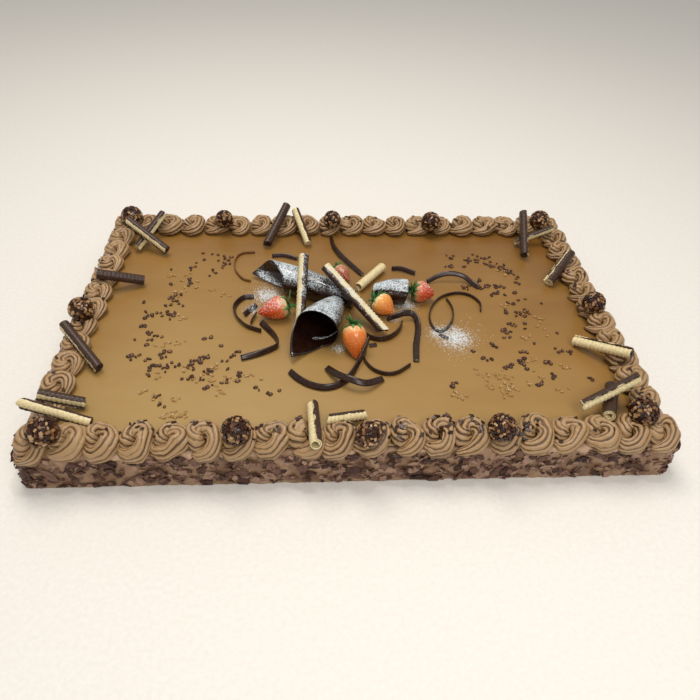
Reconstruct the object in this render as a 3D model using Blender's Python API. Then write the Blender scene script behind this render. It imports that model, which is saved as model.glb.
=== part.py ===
"""Chocolate truffle slab cake, iced and dressed.

A sponge slab with flaky chocolate sides carries a smooth layer of icing. A border of piped
rosettes runs round the top, with nut truffles and rolled chocolate sticks pressed into it.
Three chocolate cones, five strawberries and curled chocolate ribbons stand in the middle.

The origin is the middle of the underside. +X runs along the long side to the right, +Y to
the back and +Z up. Lengths are in metres; the lists of places are in millimetres.
"""

import math
import random

import bmesh
import bpy
from mathutils import Matrix, Vector

MM = 0.001
GAP = 0.3 * MM
NEST_GAP = 0.4
FLAT_ANGLE = math.radians(0.1)

CAKE_LENGTH = 600 * MM
CAKE_WIDTH = 400 * MM
SLAB_HEIGHT = 40 * MM
SLAB_CORNER_RADIUS = 6 * MM
SLAB_SETBACK = 1 * MM

# Flakes on the sides: levels as shares of the height, how far they stand out, the share of
# that which is left at the bottom and top edge, and how far they stray along and up.
FLAKE_SPACING = 20 * MM
FLAKE_DEPTH = 4 * MM
FLAKE_LEVELS = (0, 0.22, 0.46, 0.72, 1)
FLAKE_EDGE_SHARE = 0.15
FLAKE_SLIP = 5 * MM
FLAKE_RISE = 2.8 * MM

ICING_THICKNESS = 1.4 * MM
ICING_SETBACK = 8 * MM
TOP = SLAB_HEIGHT + GAP + ICING_THICKNESS + GAP

ROSETTE_RADIUS = 17 * MM
ROSETTE_HEIGHT = 18 * MM
ROSETTE_LOBES = 5
# Rings of a rosette: radius and height as shares of its own, the angle that the ridges
# have wound round by there, and the share of the radius that the grooves leave.
ROSETTE_RINGS = ((1.03, 0, 0, 0.98), (1, 0.32, 22, 0.88), (0.6, 0.8, 60, 0.74))
ROSETTE_SIZE_RANGE = (0.97, 1.03)
ROSETTE_HEIGHT_RANGE = (0.9, 1.05)
LONG_ROW_COUNT = 20
SHORT_ROW_COUNT = 11
BORDER_X = CAKE_LENGTH / 2 - ROSETTE_RADIUS
BORDER_Y = CAKE_WIDTH / 2 - ROSETTE_RADIUS
SHORT_ROW_END = BORDER_Y - 2.1 * ROSETTE_RADIUS

TRUFFLE_POINTS = 40
TRUFFLE_ROUGHNESS = 0.06
STICK_SIDES = 8
RIBBON_THICKNESS = 1.3 * MM
CONE_WALL = 1.6 * MM
CONE_SIDES = 16
CONE_LEVELS = (0, 0.35, 0.7, 1)
SMOOTH_ANGLE = math.radians(50)

# Nut-coated truffles: the middle of each ball, and its radius. Here and below, places are
# in millimetres, and heights are measured from the icing.
TRUFFLES = {
    "truffle_front_left_corner": ((-268, -188, 21.5), 14),
    "truffle_front_left": ((-104, -190, 21.5), 14),
    "truffle_front_middle": ((11, -196, 20.5), 12.5),
    "truffle_front_right": ((130, -192, 21.5), 14),
    "truffle_front_right_corner": ((266, -174, 21.5), 14),
    "truffle_right": ((277, -11, 21.5), 13.5),
    "truffle_back_right_corner": ((268, 174, 19.5), 13.5),
    "truffle_back_right": ((120, 168, 20.5), 13.5),
    "truffle_back_middle": ((-11, 173, 20.5), 12),
    "truffle_back_left": ((-152, 172, 20.5), 12),
    "truffle_back_left_corner": ((-271, 178, 20.5), 14),
    "truffle_left": ((-281, -19, 21.5), 14),
}

# Rolled chocolate sticks: the two ends of each middle line, and its radius.
STICKS = {
    "stick_back_left_over": ((-267, 147, 32.8), (-218, 117, 8.1), 6.5),
    "stick_back_left_under": ((-229, 176, 25.5), (-256, 124, 5.7), 6.5),
    "stick_left_back": ((-281, 43, 23.6), (-234, 55, 5.9), 6.8),
    "stick_left_front": ((-291, -47, 24.6), (-248, -94, 5.9), 6.6),
    "stick_front_left_short": ((-287, -142, 20.5), (-248, -140, 5.5), 6.4),
    "stick_front_left_long": ((-298, -156, 25.5), (-236, -167, 8.5), 6),
    "stick_back_dark": ((-71, 192, 30.6), (-96, 134, 5.9), 6.8),
    "stick_back_pale": ((-60, 181, 29.6), (-43, 138, 5.3), 6.4),
    "stick_back_right_over": ((243, 172, 31.8), (233, 107, 7.6), 6.5),
    "stick_back_right_under": ((278, 148, 22.5), (228, 141, 4.7), 5.3),
    "stick_right_back": ((281, 86, 25.6), (247, 50, 6), 7),
    "stick_right_middle": ((282, -101, 25.5), (243, -57, 5.8), 6.7),
    "stick_right_front_long": ((272, -140, 29.2), (213, -161, 12.7), 6.5),
    "stick_right_front_short": ((237, -172, 10.5), (258, -128, 6.7), 7.3),
    "stick_front_upright": ((-36, -205, 18.6), (-39, -147, 6.2), 6.8),
    "stick_front_level": ((-27, -172, 12.5), (11, -160, 5.8), 6.3),
    "stick_centre_left": ((-47.4, 38.8, 52), (-52, -28, 5.1), 6.8),
    "stick_centre_right": ((-22.7, 27.1, 45), (41, -42, 6.1), 7),
    "stick_centre_pale": ((49, 83, 6.3), (16.5, 40, 6.3), 6.8),
}
STICK_HOLE_SHARE = 0.45
STICK_SEAM_STEP = 0.1

# Chocolate cones that lie on the icing. Mouth and tip are the middles of the two ends, and
# the lip is the corner of the rolled sheet: how far it reaches past the mouth, the angle
# round the axis that it points to, from straight up and turning right, and how many degrees
# it spreads over before and after that angle.
CONES = {
    "cone_back": dict(
        mouth=(-66, 40.5), tip=(9, 12), radius=18, tip_radius=10, taper_power=1.5,
        lip=52, lip_angle=223, lip_spreads=(42, 190)),
    "cone_front": dict(
        mouth=(-33, -56.5), tip=(-11.5, 2.5), radius=23.8, tip_radius=11, taper_power=1.3,
        lip=33, lip_angle=226, lip_spreads=(62, 62)),
    "cone_right": dict(
        mouth=(64, 20), tip=(33, 31), radius=15, tip_radius=8.5, taper_power=1.5,
        lip=10, lip_angle=300, lip_spreads=(180, 180)),
}

# Strawberries: leafy end and tip of each middle line, and largest radius.
STRAWBERRIES = {
    "strawberry_left": ((-66, -4, 14.3), (-97, -12, 9.8), 13),
    "strawberry_front": ((4.3, -52.5, 23.8), (7.8, -78, 0.9), 13),
    "strawberry_middle": ((34.5, 5.5, 14.7), (51.5, -10.5, 6.7), 12.8),
    "strawberry_right": ((79, 24, 13.6), (103, 22, 9.4), 12.5),
    "strawberry_back": ((-7.3, 73.5, 10.2), (5.5, 52.5, 6.8), 9),
}
# A berry's outline from its leafy end to its tip: shares of the length and of the radius.
BERRY_PROFILE = ((0, 0.55), (0.1, 0.86), (0.32, 1), (0.6, 0.8), (0.85, 0.42), (1, 0.1))
BERRY_SIDES = 8
CALYX_LEAVES = 5
LEAF_THICKNESS = 0.9 * MM
LEAF_LENGTH_SHARE = 0.98
LEAF_NOTCH_SHARE = 0.4
LEAF_DROOP_SHARE = 0.12
LEAF_LIFT = 0.5 * MM

# Chocolate ribbons: the route with its lift off the icing, the width, and how far the
# strip leans from standing on its edge at its first and last point, in degrees.
RIBBONS = {
    "ribbon_back_loop": (
        ((-110, 123, 0), (-126, 120, 0), (-133, 105, 0), (-131, 83, 0), (-121, 65, 0), (-111, 60, 0)),
        4, 0, 10),
    "ribbon_back_left": (((-88, 113, 0), (-73, 113, 1), (-56, 107, 0)), 5, 30, 50),
    "ribbon_back_middle": (
        ((-13, 158, 0), (-10, 134, 1), (-2, 112, 2), (9, 94, 1), (23, 72, 0)), 6, 35, 60),
    "ribbon_back_right": (((60, 84, 0), (72, 82, 1), (88, 74, 0)), 6, 20, 35),
    "ribbon_right_arch": (
        ((100, 56, 0), (114, 61, 5), (128, 62, 8), (143, 60, 6), (153, 53, 2), (161, 45, 0)), 6, 30, 45),
    "ribbon_right_spiral": (
        ((154, 0, 0), (156, 14, 0), (149, 28, 0), (137, 34, 0), (123, 32, 0), (110, 24, 0), (100, 10, 0),
         (94, -6, 0), (93, -22, 0), (97, -33, 0), (104, -35, 0), (112, -28, 0), (119, -15, 0), (122, 0, 0),
         (121, 13, 0), (118, 23, 0)), 4, 0, 10),
    "ribbon_left_loop": (
        ((-105, 28, 0), (-117, 25, 0), (-125, 9, 0), (-121, -9, 0), (-111, -24, 0), (-102, -30, 0),
         (-93, -34, 0)), 6, -40, 5),
    "ribbon_left_chord": (((-113, -6, 0), (-107, 4, 0), (-101, 12, 0)), 6, 40, 50),
    "ribbon_left_short": (((-100, -4, 0), (-103, -12, 0), (-105, -20, 0)), 6, 20, 10),
    "ribbon_front_left": (
        ((-94, -19, 0), (-86, -31, 0), (-78, -44, 0), (-74, -57, 0), (-82, -65, 0), (-96, -72, 0),
         (-111, -77, 0)), 7, 50, -45),
    "ribbon_front_long": (
        ((-61, -97, 0), (-52, -108, 0), (-40, -117, 0), (-26, -121, 0), (-12, -117, 0), (0, -105, 0.6),
         (9, -88, 3), (16, -74, 8), (20.5, -63, 13)), 7, 50, 10),
    "ribbon_front_over": (
        ((-24, -92, 0), (-14, -108, 6), (-2, -118, 9), (14, -121, 6), (32, -109, 0)), 7, 55, 55),
    "ribbon_front_right": (
        ((18, -66, 0), (15, -78, 0), (18, -88, 0), (25, -97, 0), (36, -102, 0), (48, -100, 0), (62, -89, 0)),
        5, 0, 5),
    "ribbon_right_long": (
        ((45, -16, 0), (55, -15, 4), (64, -13, 6), (72, -12, 5), (77, -17, 3), (78, -27, 1), (76, -40, 0),
         (72, -59, 0), (69, -83, 0)), 7, 10, 82),
    "ribbon_centre_arc": (
        ((19, -42, 0), (25, -47, 0), (33, -49.5, 0), (42, -48, 0), (50, -42.5, 0), (57, -33.5, 0),
         (61, -22, 0)), 7, 0, 5),
}
RIBBON_STEPS_PER_SPAN = 2

# Trails of small chocolate discs on the icing: centre and radii of each arc, the angles in
# degrees that it runs between, how far discs stray from it, and how many are tried.
DISC_TRAILS = (
    ((-125, 70), (78, 50), (95, 175), 9, 9),
    ((-120, -10), (95, 75), (150, 215), 11, 13),
    ((-150, -50), (60, 45), (200, 330), 13, 13),
    ((165, 60), (45, 52), (20, 130), 8, 12),
    ((150, 0), (52, 60), (-30, 60), 9, 11),
    ((200, -60), (38, 40), (100, 250), 13, 9),
)
DISC_RADIUS = 2.6 * MM
DISC_HEIGHT = 1.3 * MM
DISC_SIDES = 5
DISC_SPACING = 6.5 * MM
DISC_CLEARANCE = 9 * MM
DISC_SIZE_RANGE = (0.7, 1.15)
DISC_HEIGHT_RANGE = (0.7, 1.2)
DISC_SINK = 0.85 * MM

CHOCOLATE = ("dark_chocolate", (0.05, 0.022, 0.014), 0.35)
BUTTERCREAM = ("chocolate_buttercream", (0.28, 0.15, 0.085), 0.5)
FLAKED_CREAM = ("flaked_sides", (0.15, 0.075, 0.05), 0.55)
ICING = ("caramel_icing", (0.42, 0.24, 0.1), 0.3)
NUT_COAT = ("nut_coat", (0.09, 0.045, 0.025), 0.4)
TWO_TONE = ("two_tone_chocolate", (0.35, 0.25, 0.14), 0.45)
BERRY = ("strawberry", (0.62, 0.09, 0.03), 0.35)


def clear_scene():
    for obj in list(bpy.data.objects):
        bpy.data.objects.remove(obj)


def material_of(finish):
    name, colour, roughness = finish
    made = bpy.data.materials.get(name) or bpy.data.materials.new(name)
    made.use_nodes = True
    shader = made.node_tree.nodes["Principled BSDF"]
    shader.inputs["Base Color"].default_value = (*colour, 1)
    shader.inputs["Roughness"].default_value = roughness
    shader.inputs["Metallic"].default_value = 0
    return made


def shade_round(mesh):
    """Smooth shading, apart from edges sharper than those between a round piece's faces."""
    mesh.shade_smooth()
    mesh.set_sharp_from_angle(angle=SMOOTH_ANGLE)


def add_object(name, points, faces, finish, round_piece=False):
    """An object whose bent faces are split flat, so that they can't shift when they are cut."""
    mesh = bpy.data.meshes.new(name)
    mesh.from_pydata([tuple(p) for p in points], [], faces)
    made = bmesh.new()
    made.from_mesh(mesh)
    bmesh.ops.recalc_face_normals(made, faces=made.faces)
    bmesh.ops.connect_verts_nonplanar(made, angle_limit=FLAT_ANGLE, faces=made.faces)
    made.to_mesh(mesh)
    made.free()
    mesh.materials.append(material_of(finish))
    if round_piece:
        shade_round(mesh)
    obj = bpy.data.objects.new(name, mesh)
    bpy.context.scene.collection.objects.link(obj)
    return obj


def joined_rings(count, sides, closed=False):
    """Quads between neighbouring rings; closed also joins the last ring to the first."""
    faces = []
    for ring in range(count if closed else count - 1):
        near, far = ring * sides, (ring + 1) % count * sides
        for side in range(sides):
            after = (side + 1) % sides
            faces.append((near + side, near + after, far + after, far + side))
    return faces


def end_faces(count, sides):
    last = (count - 1) * sides
    return [tuple(range(sides))[::-1], tuple(range(last, last + sides))]


def combine(first, others, operation):
    """First with the others joined to it, or cut from it. The others are removed."""
    helpers = bpy.data.collections.new("helpers")
    bpy.context.scene.collection.children.link(helpers)
    for obj in others:
        bpy.context.scene.collection.objects.unlink(obj)
        helpers.objects.link(obj)
    boolean = first.modifiers.new("combine", "BOOLEAN")
    boolean.operation = operation
    boolean.solver = "MANIFOLD"
    boolean.operand_type = "COLLECTION"
    boolean.collection = helpers
    graph = bpy.context.evaluated_depsgraph_get()
    result = bpy.data.meshes.new_from_object(first.evaluated_get(graph))
    first.modifiers.clear()
    first.data = result
    for obj in others:
        bpy.data.objects.remove(obj)
    bpy.data.collections.remove(helpers)
    return first


def settled(obj):
    """The object with its place worked into its mesh."""
    obj.data.transform(obj.matrix_world)
    obj.location = (0, 0, 0)
    bpy.context.view_layer.update()
    return obj


def in_mm(place):
    return Vector(place) * MM


def on_top(place):
    """A place from the lists above, whose height is measured from the icing."""
    return in_mm(place) + Vector((0, 0, TOP))


def turned_to(start, end):
    """A rotation that takes +X to the way from start to end, with +Z kept uppermost."""
    along = (end - start).normalized()
    across = Vector((0, 0, 1)).cross(along).normalized()
    up = along.cross(across)
    return Matrix((along, across, up)).transposed().to_euler()


def slab_outline():
    """Points round a rectangle with round corners, one for about every flake."""
    half_x = CAKE_LENGTH / 2 - SLAB_SETBACK - SLAB_CORNER_RADIUS
    half_y = CAKE_WIDTH / 2 - SLAB_SETBACK - SLAB_CORNER_RADIUS
    corners = ((half_x, half_y, 0), (-half_x, half_y, 90), (-half_x, -half_y, 180), (half_x, -half_y, 270))
    points = []
    for index, (x, y, start) in enumerate(corners):
        for turn in (start + 22.5, start + 67.5):
            way = Vector((math.cos(math.radians(turn)), math.sin(math.radians(turn)), 0))
            points.append((Vector((x, y, 0)) + way * SLAB_CORNER_RADIUS, way))
        next_x, next_y, _ = corners[(index + 1) % 4]
        out = Vector((math.cos(math.radians(start + 90)), math.sin(math.radians(start + 90)), 0))
        run = Vector((next_x - x, next_y - y, 0))
        steps = round(run.length / FLAKE_SPACING)
        for step in range(steps + 1):
            points.append((Vector((x, y, 0)) + out * SLAB_CORNER_RADIUS + run * (step / steps), out))
    return points


def build_slab():
    """The cake itself: flat under and on top, with chocolate flakes standing out of its sides."""
    draw = random.Random(3)
    outline = slab_outline()
    points = []
    for share in FLAKE_LEVELS:
        for place, out in outline:
            spot = place + Vector((0, 0, share * SLAB_HEIGHT))
            if share in (0, 1):
                spot += out * FLAKE_DEPTH * FLAKE_EDGE_SHARE * draw.random()
            else:
                spot += out * FLAKE_DEPTH * draw.random()
                spot += Vector((-out.y, out.x, 0)) * FLAKE_SLIP * draw.uniform(-1, 1)
                spot.z += FLAKE_RISE * draw.uniform(-1, 1)
            points.append(spot)
    sides = len(outline)
    faces = joined_rings(len(FLAKE_LEVELS), sides) + end_faces(len(FLAKE_LEVELS), sides)
    return add_object("cake_slab", points, faces, FLAKED_CREAM)


def rosette_object(place, turn, size, height):
    """One piped swirl: a ridged dome whose ridges wind up to a point."""
    sides = 2 * ROSETTE_LOBES
    points = []
    for share, level, twist, groove in ROSETTE_RINGS:
        for side in range(sides):
            angle = math.radians(360 * side / sides + twist + turn)
            radius = size * share * (1 if side % 2 else groove)
            points.append((radius * math.cos(angle), radius * math.sin(angle), height * level))
    points.append((0, 0, height))
    faces = joined_rings(len(ROSETTE_RINGS), sides) + [end_faces(len(ROSETTE_RINGS), sides)[0]]
    last, apex = (len(ROSETTE_RINGS) - 1) * sides, len(points) - 1
    faces += [(last + side, last + (side + 1) % sides, apex) for side in range(sides)]
    obj = add_object("rosette", points, faces, BUTTERCREAM)
    obj.location = place
    return obj


def nest_object():
    """Slightly large solid copies of the truffles and sticks, to press their shape into the cream."""
    nests = []
    for seed, (place, radius) in enumerate(TRUFFLES.values()):
        nests.append(truffle_object("nest", place, radius + NEST_GAP, seed))
    for start, end, radius in STICKS.values():
        nests.append(stick_object("nest", start, end, radius + NEST_GAP, 0))
    bpy.context.view_layer.update()
    nest = combine(nests[0], nests[1:], "UNION")
    return settled(nest)


def drop_scraps(mesh):
    """Leaves only the largest body of a mesh."""
    made = bmesh.new()
    made.from_mesh(mesh)
    bodies, left = [], set(made.verts)
    while left:
        body, edge = set(), {left.pop()}
        while edge:
            body |= edge
            edge = {e.other_vert(v) for v in edge for e in v.link_edges} - body
        left -= body
        bodies.append(body)
    largest = max(bodies, key=len)
    scraps = [v for body in bodies if body is not largest for v in body]
    bmesh.ops.delete(made, geom=scraps, context="VERTS")
    made.to_mesh(mesh)
    made.free()


def build_row(name, places, seed):
    """One side of the border: rosettes that run into each other, dented by what lies on them."""
    draw = random.Random(seed)
    swirls = []
    for place in places:
        size = ROSETTE_RADIUS * draw.uniform(*ROSETTE_SIZE_RANGE)
        height = ROSETTE_HEIGHT * draw.uniform(*ROSETTE_HEIGHT_RANGE)
        swirls.append(rosette_object((*place, TOP), draw.uniform(0, 360), size, height))
    bpy.context.view_layer.update()
    row = settled(combine(swirls[0], swirls[1:], "UNION"))
    combine(row, [nest_object()], "DIFFERENCE")
    drop_scraps(row.data)
    shade_round(row.data)
    row.name = name
    return row


def build_border():
    step_x = 2 * BORDER_X / (LONG_ROW_COUNT - 1)
    for name, y, seed in (("border_front", -BORDER_Y, 11), ("border_back", BORDER_Y, 12)):
        build_row(name, [(-BORDER_X + step_x * i, y) for i in range(LONG_ROW_COUNT)], seed)
    step_y = 2 * SHORT_ROW_END / (SHORT_ROW_COUNT - 1)
    for name, x, seed in (("border_left", -BORDER_X, 13), ("border_right", BORDER_X, 14)):
        build_row(name, [(x, -SHORT_ROW_END + step_y * i) for i in range(SHORT_ROW_COUNT)], seed)


def truffle_object(name, place, radius, seed):
    """A ball with the knobbly face of a coat of chopped nuts, from evenly spread points."""
    draw = random.Random(seed)
    made = bmesh.new()
    for index in range(TRUFFLE_POINTS):
        level = 1 - (2 * index + 1) / TRUFFLE_POINTS
        angle = index * math.pi * (3 - math.sqrt(5))
        ring = math.sqrt(1 - level * level)
        made.verts.new((ring * math.cos(angle), ring * math.sin(angle), level))
    bmesh.ops.convex_hull(made, input=made.verts)
    for vertex in made.verts:
        vertex.co *= radius * MM * (1 + TRUFFLE_ROUGHNESS * draw.uniform(-1, 1))
    bmesh.ops.recalc_face_normals(made, faces=made.faces)
    mesh = bpy.data.meshes.new(name)
    made.to_mesh(mesh)
    made.free()
    mesh.materials.append(material_of(NUT_COAT))
    obj = bpy.data.objects.new(name, mesh)
    bpy.context.scene.collection.objects.link(obj)
    obj.location = on_top(place)
    return obj


def stick_object(name, start, end, radius, hole_share):
    """A rolled sheet of chocolate along local X: a tube whose outer edge ends in a small step.

    Without a hole share it is a solid rod."""
    start, end = on_top(start), on_top(end)
    reach = (end - start).length / 2 + (0 if hole_share else NEST_GAP * MM)
    rings = [(-reach, 1), (reach, 1)]
    if hole_share:
        rings += [(reach, hole_share), (-reach, hole_share)]
    points = []
    for along, share in rings:
        for side in range(STICK_SIDES):
            angle = 2 * math.pi * side / STICK_SIDES
            step = STICK_SEAM_STEP * side / STICK_SIDES if share == 1 else 0
            wide = radius * MM * (share - step)
            points.append((along, wide * math.cos(angle), wide * math.sin(angle)))
    faces = joined_rings(len(rings), STICK_SIDES, closed=bool(hole_share))
    if not hole_share:
        faces += end_faces(len(rings), STICK_SIDES)
    obj = add_object(name, points, faces, TWO_TONE, round_piece=True)
    obj.location = (start + end) / 2
    obj.rotation_euler = turned_to(start, end)
    return obj


def build_cone(name, mouth, tip, radius, tip_radius, taper_power, lip, lip_angle, lip_spreads):
    """A sheet rolled into a cone that lies on its side, with one corner of the sheet as a lip.

    It is modelled along local +X from its mouth to its tip, and open at the mouth."""
    start, end = Vector((*mouth, 0)) * MM, Vector((*tip, 0)) * MM
    length = (end - start).length
    rings = [(share, CONE_WALL) for share in reversed(CONE_LEVELS)]
    rings += [(share, 0) for share in CONE_LEVELS]
    points = []
    for share, inset in rings:
        middle = MM * (tip_radius + (radius - tip_radius) * (1 - share**taper_power))
        wide = middle - inset
        for side in range(CONE_SIDES):
            angle = 2 * math.pi * side / CONE_SIDES
            turn = (math.degrees(angle) - lip_angle + 180) % 360 - 180
            slope = abs(turn) / lip_spreads[0 if turn < 0 else 1]
            reach = lip * MM * max(0, 1 - slope) if share == 0 else 0
            along = length * share - reach - (inset if share == 1 else 0)
            points.append((along, -wide * math.sin(angle), middle + wide * math.cos(angle)))
    faces = joined_rings(len(rings), CONE_SIDES) + end_faces(len(rings), CONE_SIDES)
    obj = add_object(name, points, faces, CHOCOLATE, round_piece=True)
    obj.location = (start.x, start.y, TOP)
    obj.rotation_euler = (0, 0, math.atan2(end.y - start.y, end.x - start.x))
    return obj


def berry_body(name, length, radius):
    """A strawberry along local +X: broad at its leafy end, and drawn in to a blunt tip."""
    points = []
    for along, share in BERRY_PROFILE:
        for side in range(BERRY_SIDES):
            angle = 2 * math.pi * side / BERRY_SIDES
            wide = radius * share
            points.append((length * along, wide * math.cos(angle), wide * math.sin(angle)))
    faces = joined_rings(len(BERRY_PROFILE), BERRY_SIDES) + end_faces(len(BERRY_PROFILE), BERRY_SIDES)
    return add_object(name, points, faces, BERRY, round_piece=True)


def calyx(radius):
    """The green leaves: one thin wavy star round the stalk end, bent towards the fruit."""
    sides = 2 * CALYX_LEAVES
    points = []
    for face in (0, 1):
        lift = -LEAF_THICKNESS * face
        points.append((lift + LEAF_LIFT, 0, 0))
        for side in range(sides):
            angle = 2 * math.pi * side / sides
            reach = radius * (LEAF_LENGTH_SHARE if side % 2 else LEAF_NOTCH_SHARE)
            droop = radius * LEAF_DROOP_SHARE * (1 + (side % 4) / 3) if side % 2 else 0
            points.append((lift + droop, reach * math.cos(angle), reach * math.sin(angle)))
    back = sides + 1
    faces = []
    for side in range(sides):
        near, after = 1 + side, 1 + (side + 1) % sides
        faces.append((0, near, after))
        faces.append((back, back + after, back + near))
        faces.append((near, back + near, back + after, after))
    return add_object("calyx", points, faces, BERRY)


def build_strawberry(name, leafy_end, tip, radius):
    leafy_end, tip = on_top(leafy_end), on_top(tip)
    body = berry_body(name, (tip - leafy_end).length, radius * MM)
    combine(body, [calyx(radius * MM)], "UNION")
    body.location = leafy_end
    body.rotation_euler = turned_to(leafy_end, tip)
    return body


def smooth_route(points, steps):
    """Points on a smooth curve through the route's own points, steps for each span."""
    ends = [2 * points[0] - points[1], *points, 2 * points[-1] - points[-2]]
    route = []
    for index in range(1, len(ends) - 2):
        before, start, end, after = ends[index - 1:index + 3]
        for step in range(steps):
            t = step / steps
            route.append(0.5 * (2 * start + (end - before) * t
                                + (2 * before - 5 * start + 4 * end - after) * t**2
                                + (3 * start - before - 3 * end + after) * t**3))
    return route + [points[-1]]


def build_ribbon(name, places, width, first_lean, last_lean):
    """A thin strip of chocolate on its edge along the route, leaning over as it goes."""
    route = smooth_route([in_mm(p) for p in places], RIBBON_STEPS_PER_SPAN)
    width *= MM
    points = []
    for index, spot in enumerate(route):
        along = route[min(index + 1, len(route) - 1)] - route[max(index - 1, 0)]
        side_way = Vector((-along.y, along.x, 0)).normalized()
        lean = math.radians(first_lean + (last_lean - first_lean) * index / (len(route) - 1))
        up = Vector((0, 0, math.cos(lean))) + side_way * math.sin(lean)
        out = side_way * math.cos(lean) - Vector((0, 0, math.sin(lean)))
        half_height = (width * math.cos(lean) + RIBBON_THICKNESS * abs(math.sin(lean))) / 2
        middle = Vector((spot.x, spot.y, TOP + spot.z + half_height))
        for rise, push in ((-1, -1), (1, -1), (1, 1), (-1, 1)):
            points.append(middle + up * (rise * width / 2) + out * (push * RIBBON_THICKNESS / 2))
    faces = joined_rings(len(route), 4) + end_faces(len(route), 4)
    return add_object(name, points, faces, CHOCOLATE)


def toppings_near(spot):
    """True where a disc would come too close to a ribbon, stick, cone or strawberry."""
    lines = [[in_mm((x, y, 0)) for x, y, _ in places] for places, *_ in RIBBONS.values()]
    lines += [[in_mm((*start[:2], 0)), in_mm((*end[:2], 0))] for start, end, _ in STICKS.values()]
    lines += [[in_mm((*start[:2], 0)), in_mm((*end[:2], 0))] for start, end, _ in STRAWBERRIES.values()]
    for line in lines:
        for start, end in zip(line, line[1:]):
            along = end - start
            share = max(0, min(1, (spot - start).dot(along) / along.length_squared))
            if (spot - start - along * share).length < DISC_CLEARANCE:
                return True
    return False


def disc_places():
    """Middles of the scattered discs: a rule along each trail, with seeded strays."""
    draw = random.Random(21)
    limit_x = BORDER_X - ROSETTE_RADIUS - 2 * DISC_RADIUS
    limit_y = BORDER_Y - ROSETTE_RADIUS - 2 * DISC_RADIUS
    placed = []
    for (x, y), (radius_x, radius_y), (first, last), stray, count in DISC_TRAILS:
        for _ in range(count):
            angle = math.radians(draw.uniform(first, last))
            spot = in_mm((x + radius_x * math.cos(angle) + draw.gauss(0, stray),
                          y + radius_y * math.sin(angle) + draw.gauss(0, stray), 0))
            inside = abs(spot.x) < limit_x and abs(spot.y) < limit_y
            apart = all((spot - other).length > DISC_SPACING for other in placed)
            if inside and apart and not toppings_near(spot):
                placed.append(spot)
    return placed


def build_icing():
    """The smooth top layer, with its small chocolate discs fused on."""
    draw = random.Random(22)
    half_x, half_y = CAKE_LENGTH / 2 - ICING_SETBACK, CAKE_WIDTH / 2 - ICING_SETBACK
    floor = SLAB_HEIGHT + GAP
    corners = ((-half_x, -half_y), (half_x, -half_y), (half_x, half_y), (-half_x, half_y))
    points = [(x, y, floor + rise) for rise in (0, ICING_THICKNESS) for x, y in corners]
    icing = add_object("top_icing", points, joined_rings(2, 4) + end_faces(2, 4), ICING)
    discs = []
    for spot in disc_places():
        turn = draw.uniform(0, 2 * math.pi)
        size = DISC_RADIUS * draw.uniform(*DISC_SIZE_RANGE)
        rings = []
        for rise in (-DISC_SINK, DISC_HEIGHT * draw.uniform(*DISC_HEIGHT_RANGE)):
            for side in range(DISC_SIDES):
                angle = turn + 2 * math.pi * side / DISC_SIDES
                rings.append((size * math.cos(angle), size * math.sin(angle), rise))
        faces = joined_rings(2, DISC_SIDES) + end_faces(2, DISC_SIDES)
        discs.append(add_object("disc", rings, faces, CHOCOLATE))
        discs[-1].location = (spot.x, spot.y, floor + ICING_THICKNESS)
    return combine(icing, discs, "UNION")


def build_cake():
    clear_scene()
    build_slab()
    build_icing()
    build_border()
    for seed, (name, (place, radius)) in enumerate(TRUFFLES.items()):
        truffle_object(name, place, radius, seed)
    for name, (start, end, radius) in STICKS.items():
        stick_object(name, start, end, radius, STICK_HOLE_SHARE)
    for name, sizes in CONES.items():
        build_cone(name, **sizes)
    for name, (leafy_end, tip, radius) in STRAWBERRIES.items():
        build_strawberry(name, leafy_end, tip, radius)
    for name, (places, width, first_lean, last_lean) in RIBBONS.items():
        build_ribbon(name, places, width, first_lean, last_lean)


build_cake()
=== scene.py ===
"""A chocolate truffle slab cake of 600 x 400 mm on a plain pale table.

The sections follow the cake as it is put together: table and light, sponge with its shaved
sides, icing, piped border, truffles, rolled sticks, cones, strawberries, ribbons and sugar.
Lengths are in metres. The lists of places are in millimetres, with heights from the icing.
"""

import math
import random

import bmesh
import bpy
import numpy as np
from mathutils import Matrix, Vector, noise
from mathutils.bvhtree import BVHTree


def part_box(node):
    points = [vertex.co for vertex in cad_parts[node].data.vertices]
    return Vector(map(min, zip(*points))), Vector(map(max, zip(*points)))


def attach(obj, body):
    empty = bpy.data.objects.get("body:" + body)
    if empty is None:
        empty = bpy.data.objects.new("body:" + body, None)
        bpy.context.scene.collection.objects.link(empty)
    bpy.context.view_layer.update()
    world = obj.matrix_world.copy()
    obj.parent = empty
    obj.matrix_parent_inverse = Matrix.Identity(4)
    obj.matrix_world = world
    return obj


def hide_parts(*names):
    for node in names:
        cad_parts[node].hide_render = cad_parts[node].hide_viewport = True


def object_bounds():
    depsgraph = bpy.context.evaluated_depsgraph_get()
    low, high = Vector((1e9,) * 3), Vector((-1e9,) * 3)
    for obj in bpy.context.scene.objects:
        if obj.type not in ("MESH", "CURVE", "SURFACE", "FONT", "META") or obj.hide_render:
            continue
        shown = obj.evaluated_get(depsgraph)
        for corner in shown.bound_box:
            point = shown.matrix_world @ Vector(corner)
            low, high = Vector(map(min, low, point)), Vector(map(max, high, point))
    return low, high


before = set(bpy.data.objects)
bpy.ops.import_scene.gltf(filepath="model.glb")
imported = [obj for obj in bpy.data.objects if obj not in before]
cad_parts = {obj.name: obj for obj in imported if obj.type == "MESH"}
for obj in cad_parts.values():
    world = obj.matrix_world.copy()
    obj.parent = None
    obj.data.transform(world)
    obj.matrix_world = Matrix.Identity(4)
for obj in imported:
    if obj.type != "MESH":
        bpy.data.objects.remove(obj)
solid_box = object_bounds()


# Table, light and camera. The table top is white laminate. A large lamp hangs over the cake,
# one hangs in front of it and a small one makes the glints; pale walls throw light back. A
# lamp is its place, its width, its watts and its colour.

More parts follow.
